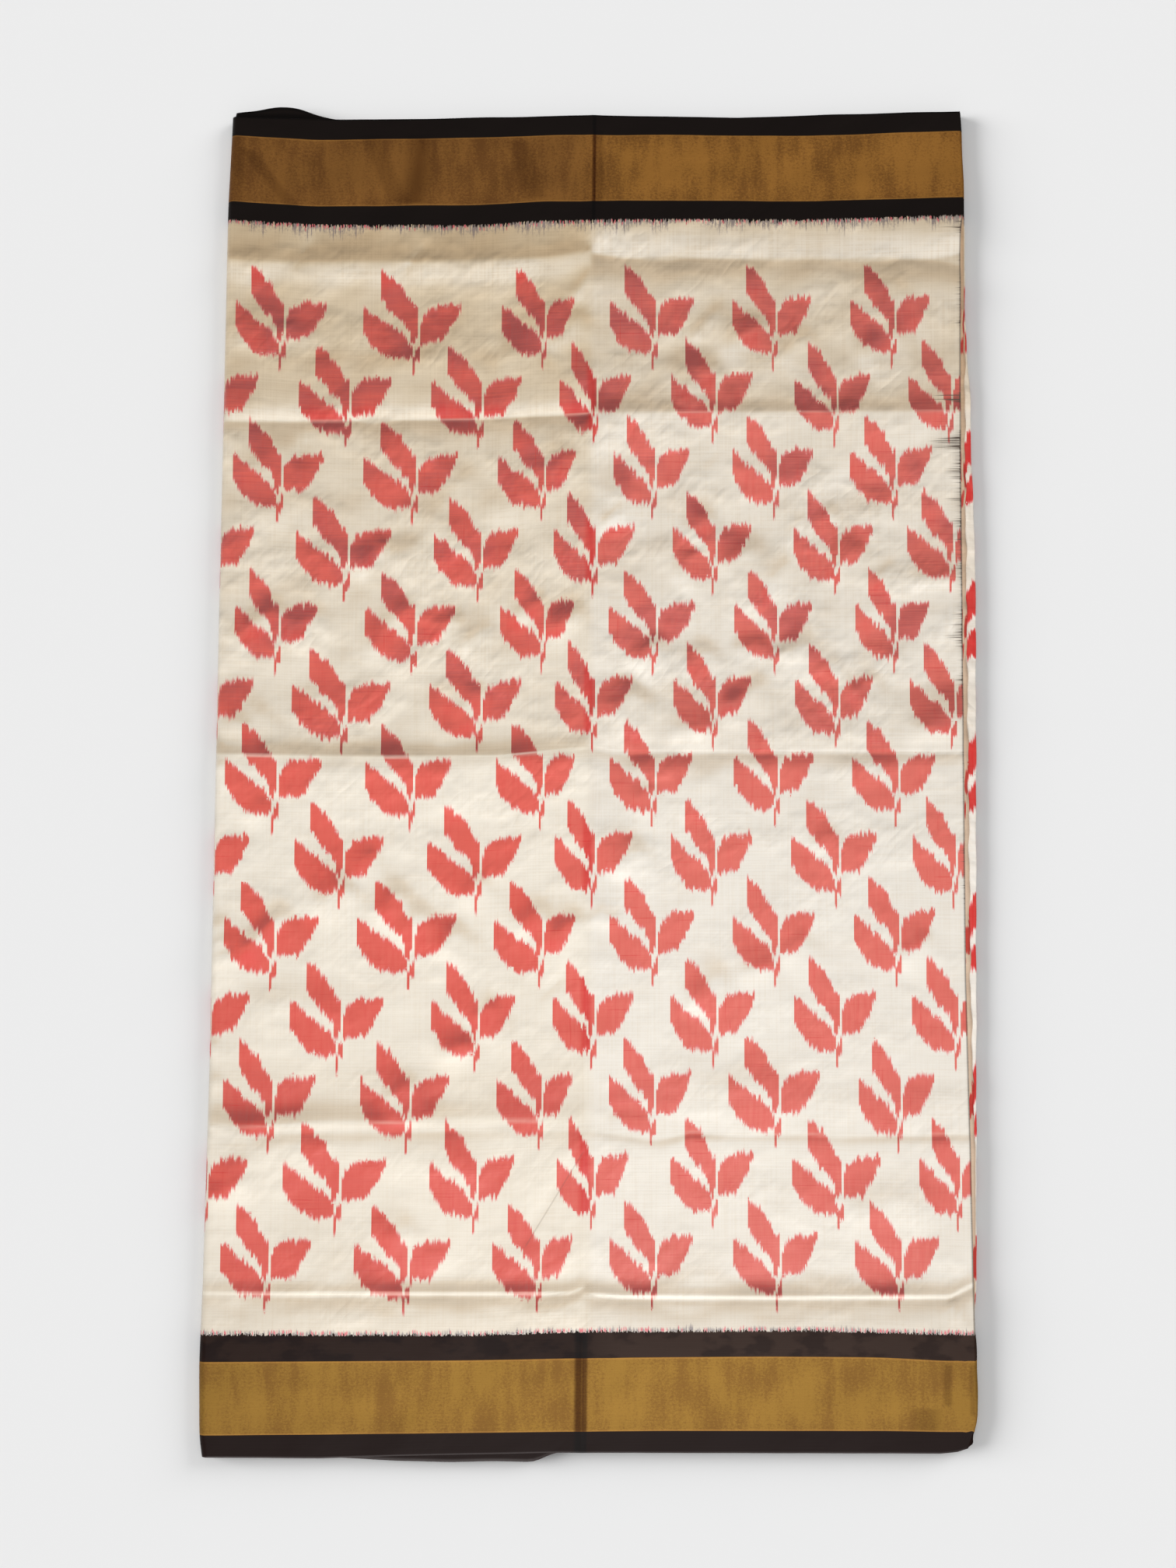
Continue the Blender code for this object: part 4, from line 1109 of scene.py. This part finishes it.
# v, and how far the loose threads reach in from the cut end
FRAY_REACH = (
    (-480, 3), (-330, 4), (-180, 2), (-72, 9), (-66, 3), (66, 6), (72, 18), (78, 6), (95, 8), (112, 22),
    (128, 12), (142, 6), (156, 8), (170, 16), (190, 8), (205, 18), (215, 8), (226, 20), (236, 14),
    (242, 8), (252, 30), (258, 10), (264, 32), (270, 16), (276, 36), (283, 32), (286, 3), (315, 1),
    (316, 65), (319, 65), (320, 2), (366, 2), (368, 16), (371, 3), (379, 3), (380, 65), (382, 65),
    (383, 4), (395, 8), (410, 10), (422, 8), (426, 3), (440, 2), (442, 18), (445, 2), (462, 3),
    (466, 24), (471, 24), (474, 6), (480, 4),
)


def shade_line_share(finish, u, v, marks):
    """How dark the lines of painted shade are, 0 to 1: each is a slanting line, u = at + lean times v, that
    is soft at both sides and stops at two places along v."""
    total = 0.0
    for at, lean, half_width, low, high, strength in marks:
        line = 1 - finish.smooth(finish.size(u - (v * lean + at)), half_width * 0.4, half_width * 1.6)
        low_end, high_end = finish.smooth(v, low - 2, low + 2), finish.smooth(v, high + 2, high - 2)
        total = line * low_end * high_end * strength + total
    return finish.clamp(total)


def cut_end_shade(finish, v, to_cut):
    """How dark the silk is near the cut end: long loose threads leave gaps where painted shade shows,
    each as long as its own random share of the reach there, with a painted haze. The very edge is
    painted shadow all along."""
    reach = finish.curve(v, FRAY_REACH, CURVE_SPAN, FRAY_FULL)
    length, dark, _ = finish.dice(finish.floor(v / LOOSE_THREAD), 0.0, 21.0)
    gaps = finish.smooth(reach * length * length - to_cut, 0.0, 12.0) * (dark * 0.8 + 0.2)
    haze = finish.smooth(reach * 0.35 - to_cut, -3.0, 9.0) * 0.35
    return finish.clamp(gaps + haze + (1 - finish.smooth(to_cut, 0.4, 1.8)) * 0.55)


# %% The finish
WEAVE_TURN = 2 * math.pi / WEAVE


def cream_color(finish, u, v, lean, across, along):
    """Cream with thick threads. It is painted paler in the lower part and where it leans to the light, as
    painted sheen, and yellower in the upper part.
    """
    right = finish.smooth(u, -8.0, 4.0)
    yellow = finish.smooth(v, 312.0, 300.0) * -0.2 + 1 - right * 0.25
    upper = finish.smooth(v, -160.0, 560.0) * yellow
    lower = finish.mix(CREAM_LOWER_LEFT, CREAM_LOWER_RIGHT, right)
    cream = finish.mix(lower, CREAM_UPPER, upper * (1 - finish.smooth(lean, -0.02, 0.16) * 0.75))
    thick = finish.smooth(across * 0.5 + along * 0.5, 0.44, 0.66)
    return finish.mix(cream, CREAM_SLUB, thick * (upper * 0.3 + 0.2))


def red_color(finish, u, v, lean, across, along, shade_bands, deep):
    """Red: paler at the right, deep in thick threads. Painted light and shade: deeper where it leans to the
    light, in the lower part and along the upright crease, and duller where it leans away, in the upper part
    and in the painted shade bands.
    """
    side = finish.smooth(u, -60.0, 60.0)
    upper = finish.smooth(v, -60.0, 140.0)
    red = finish.mix(RED_LEFT, RED_RIGHT, finish.clamp(side + upper * 0.3))
    patches = finish.noise(u * 0.02, v * 0.02, 3.0)
    dull = finish.smooth(patches, 0.42, 0.66) * upper * 0.55 + (along - 0.5) * (upper + 0.5)
    dull = dull + finish.smooth(lean, 0.02, -0.2) * 0.9 + shade_bands * 0.5 + upper * 0.1 - 0.2
    red = finish.mix(red, DULL_RED, finish.clamp(dull))
    press = 1 - finish.smooth(finish.size(from_upright(u, v)), 1.0, 7.0)
    slub = finish.smooth(along, 0.60, 0.72) * 0.5 + finish.smooth(across, 0.62, 0.75) * 0.5
    streaks = finish.noise(u * 0.35, v * 0.03, 19.0)
    deeper = slub + press * 0.7 + finish.smooth(lean, 0.0, 0.2) * 0.5 + deep
    deeper = deeper + finish.smooth(v, 0.0, -400.0) * 0.16 + (streaks - 0.5) * 0.6
    return finish.mix(red, DEEP_RED, finish.clamp(deeper))


def border_color(finish, u, v, gold, line, grain):
    """The black silk and the gold band, each with its own tone at the four places. The tones are partly
    painted light: the black is lighter and browner towards the lower border and the lower right, partly from
    fading and partly as painted sheen, and the gold is lighter at the upper right.
    """
    right = finish.smooth(u, -30.0, 30.0)
    lower = finish.smooth(v, 1.0, -1.0)
    inner = 1 - finish.smooth(finish.size(v), 500.0, 550.0)
    smudge = finish.noise(u * 0.03, v * 0.06, 13.0, detail=3.0)
    clear = finish.smooth(smudge, 0.42, 0.54)
    black = finish.mix(BLACK_UPPER, finish.mix(BLACK_OUTER, BLACK_LOWER, inner * clear), lower)
    black = finish.mix(black, BLACK_FADED_AND_SHEEN, lower * inner * right * (clear * 0.6 + 0.4))
    thread = finish.mix(finish.mix(GOLD_UPPER_LEFT, GOLD_UPPER_RIGHT, right), GOLD_LOWER, lower)
    bands = finish.noise(u * 0.075, v * 0.016, 9.0, detail=3.0, roughness=0.6)
    shade = finish.noise(u * 0.016, v * 0.02, 15.0, detail=1.0)
    coarse = finish.noise(u * 0.42, v * 0.5, 23.0, detail=3.0, roughness=0.8)
    stain = finish.smooth(bands * 0.27 + grain * 0.24 + coarse * 0.26 + shade * 0.23, 0.56, 0.43)
    stain = stain * (0.66 - lower * 0.14)
    metal = finish.mix(finish.mix(thread, GOLD_STAIN, stain), GOLD_LINE, line * 0.4)
    return finish.mix(black, metal, gold)


def silk_finish(name, deep=0.0, tint=(1.0, 1.0, 1.0)):
    """The whole cloth's finish: pattern, borders, thread streaks and weave, with painted light and
    shade. The silk's colours are laid one over the other, each by its own share."""
    finish = Finish(name)
    u, v, column, row = cloth_places(finish)
    black, grey, pink, gold, line = border_masks(finish, u, v)
    border = finish.clamp(black + gold)
    sprig, rim = sprig_mask(finish, u, v, column, row)
    across = finish.noise(u * 0.6, v * 0.012, 0.0, detail=3.0, roughness=0.6)
    along = finish.noise(u * 0.018, v * 0.7, 5.0, detail=3.0, roughness=0.6)
    lean, to_cut, crease_glint = (finish.node("ShaderNodeAttribute", {"attribute_name": each}, {}, 2)
                             for each in ("lean", "to_cut", "glint"))
    shade_bands = shade_band_share(finish, u, v)
    red = red_color(finish, u, v, lean, across, along, shade_bands, deep)
    red = finish.mix(red, PINK_RIM, rim * 0.6)
    color = cream_color(finish, u, v, lean, across, along)
    for over, share, blend in (
        (red, sprig, "MIX"),
        # painted shade in bands beside the creases and the borders
        (PAINTED_SHADE_TINT, shade_bands, "MULTIPLY"),
        (SHADE_TINT, finish.smooth(lean, 0.01, -0.12), "MULTIPLY"),
        # painted highlight on crease lines, and painted shade in dark grooves
        (CREASE_HIGHLIGHT, finish.clamp(crease_glint), "MIX"),
        (PAINTED_SHADE_TINT, finish.clamp(crease_glint * -1.0), "MULTIPLY"),
        (GREY_DYE, grey * 0.75, "MIX"),
        (PINK_DYE, pink * 0.8, "MIX"),
        # painted shade at the cut end, and on one crease line in the field
        (PAINTED_SHADE_BROWN, cut_end_shade(finish, v, to_cut), "MIX"),
        (PAINTED_SHADE_BROWN, shade_line_share(finish, u, v, FIELD_CREASE_SHADE), "MIX"),
        # the strips' tint: painted light on the fold, painted shade on the narrow strip
        (tint, 1.0, "MULTIPLY"),
    ):
        color = finish.mix(color, over, share, blend)
    weave = finish.math("SINE", u * WEAVE_TURN) * finish.math("SINE", v * WEAVE_TURN)
    grain = finish.noise(u * 0.5, v * 0.7, 2.0, detail=3.0, roughness=0.9)
    where = finish.smooth(finish.noise(u * 0.012, v * 0.02, 8.0), 0.40, 0.62)
    calm = (finish.smooth(v, -200.0, 120.0) * 0.6 + 0.4) * (1 - border * 0.7)
    aslant = finish.noise(u * 0.05 - v * 0.05, u * 0.03 + v * 0.03, 4.0, detail=1.5, roughness=0.45)
    short = finish.noise(u * 0.07 - v * 0.05, u * 0.02 + v * 0.028, 17.0, detail=1.0)
    crinkle = (aslant * (where * 1.2 + 0.5) + finish.size(short - 0.5) * where * 1.1) * calm
    height = weave * 0.006 + across * 0.05 + along * 0.05 + gold * grain * 0.06 + crinkle
    normal = finish.node("ShaderNodeBump", {}, {"Strength": 1.0, "Distance": MM, "Height": height})
    finish.give(finish.shader.inputs, {
        "Base Color": color, "Roughness": across * 0.03 + along * 0.03 + 0.40, "Normal": normal,
        "Specular IOR Level": 0.75, "Sheen Weight": 0.08, "Sheen Roughness": 0.4})
    band = border_color(finish, u, v, gold, line, grain)
    # painted fold shade on the borders
    band = finish.mix(band, FOLD_SHADE_TINT, shade_line_share(finish, u, v, BORDER_FOLD_SHADE), "MULTIPLY")
    finish.give(finish.second_shader(border), {
        "Base Color": band, "Metallic": gold * 0.5, "Normal": normal, "Roughness": 0.58,
        "Specular IOR Level": 0.15})
    print(name, "has", len(finish.tree.nodes), "nodes")
    return finish.material


silk = silk_finish("sari_silk")
for cloth in (top_cloth, under_cloth, inner_pair, inner_layers):
    cloth.data.materials.append(silk)
# the fold strip is painted a little brighter, as light on its rounded edge, and the narrow strip darker and
# browner, as the stack's shade on it; both get deeper red, partly painted light
fold_cloth.data.materials.append(silk_finish("fold_silk", deep=0.9, tint=(1.08, 1.08, 1.1)))
second_cloth.data.materials.append(silk_finish("strip_silk", deep=0.6, tint=(0.86, 0.68, 0.55)))

# %% [markdown]
# ## What each piece stands for
#
# Each cloth rides on the one CAD body and hides the CAD node that it stands for.

# %% Bodies, nodes and sheets
SHEETS = (
    (top_cloth, "top_stretch", "top_cloth", (0.72, 1.15), ["second_cloth", "inner_layers"]),
    (under_cloth, "under_stretch", "under_cloth", (0.645, 1.15), []),
    (fold_cloth, "middle_fold", "fold_cloth", (0.135, 1.15), ["under_cloth", "inner_pair"]),
    (second_cloth, "second_end", "second_cloth", (0.063, 1.15), ["fold_cloth"]),
    (inner_layers, "folded_core", "layer_edges", (2.37, 1.15), ["inner_pair", "under_cloth"]),
    (inner_pair, "folded_core", "layer_edges", (1.15, 1.15), ["inner_layers"]),
)
for cloth, node, slot, flat, rests_on in SHEETS:
    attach(cloth, "root")
    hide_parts(node)
print(len(SHEETS), "sheets")

# %% [markdown]
# ## Floor and light
#
# The sari lies on a plain pale floor. Creases show best in a low light from the lower border,
# but on the floor that light would throw a long shadow. So each lamp is linked to what it is
# for. Two low lights from the sides and one from above are for the floor, and give it the soft
# shadows beside the stack. A low light and a broad one near the lower border are for the cloth.
# Silk shines where a light is mirrored, so the lower half looks pale and the upper half keeps
# its warmer colour, and the silk's colour has this sheen painted in as well.

# %% Floor and lights
FLOOR_REACH = 30
SPOT_AT, SPOT_SIZE = (0.08, -1.5, 2.2), 0.3
corners = [(side_x * FLOOR_REACH, side_y * FLOOR_REACH, 0)
           for side_x, side_y in ((-1, -1), (1, -1), (1, 1), (-1, 1))]
floor_mesh = bpy.data.meshes.new("floor")
floor_mesh.from_pydata(corners, [], [(0, 1, 2, 3)])
floor = add_object("floor", floor_mesh)
floor_finish = Finish("pale_floor")
floor_finish.give(floor_finish.shader.inputs,
                  {"Base Color": (0.85, 0.85, 0.85, 1), "Roughness": 1.0, "Specular IOR Level": 0.0})
floor_mesh.materials.append(floor_finish.material)

cloths = (top_cloth, under_cloth, fold_cloth, second_cloth, inner_pair, inner_layers)
# name, kind, where the light comes from, strength, degrees across, what it lights
LAMPS = (
    ("side_light", "SUN", (-1.0, 0.12, 0.42), 3.15, 34, [floor]),
    ("right_light", "SUN", (0.9, 0.6, 0.42), 1.475, 34, [floor]),
    ("floor_light", "SUN", (0, 0, 1), 0.30, 60, [floor]),
    ("crease_light", "SUN", (-0.05, -0.94, 0.36), 4.70, 22, cloths),
    ("lower_light", "SPOT", (0.05, -1.13, 2.2), 92, 36, cloths),
)


def add_lamp(name, kind, direction, strength, width, objects):
    """A lamp that shines from a direction. Its light is linked to some objects alone, and
    everything still casts its shadow."""
    light = bpy.data.lights.new(name, kind)
    light.energy = strength
    lamp = add_object(name, light)
    lamp.rotation_euler = Vector(direction).to_track_quat("Z", "Y").to_euler()
    if kind == "SUN":
        light.angle = math.radians(width)
    else:
        light.spot_size, light.spot_blend = math.radians(width), 1.0
        light.shadow_soft_size, lamp.location = SPOT_SIZE, SPOT_AT
    group = bpy.data.collections.new(name + "_objects")
    for each in objects:
        group.objects.link(each)
    lamp.light_linking.receiver_collection = group


for row in LAMPS:
    add_lamp(*row)
world = bpy.data.worlds.new("studio")
world.use_nodes = True
background = world.node_tree.nodes["Background"].inputs
background["Color"].default_value = (1.0, 1.0, 1.0, 1)
background["Strength"].default_value = 0.34
bpy.context.scene.world = world
bpy.context.scene.view_settings.view_transform = "Standard"
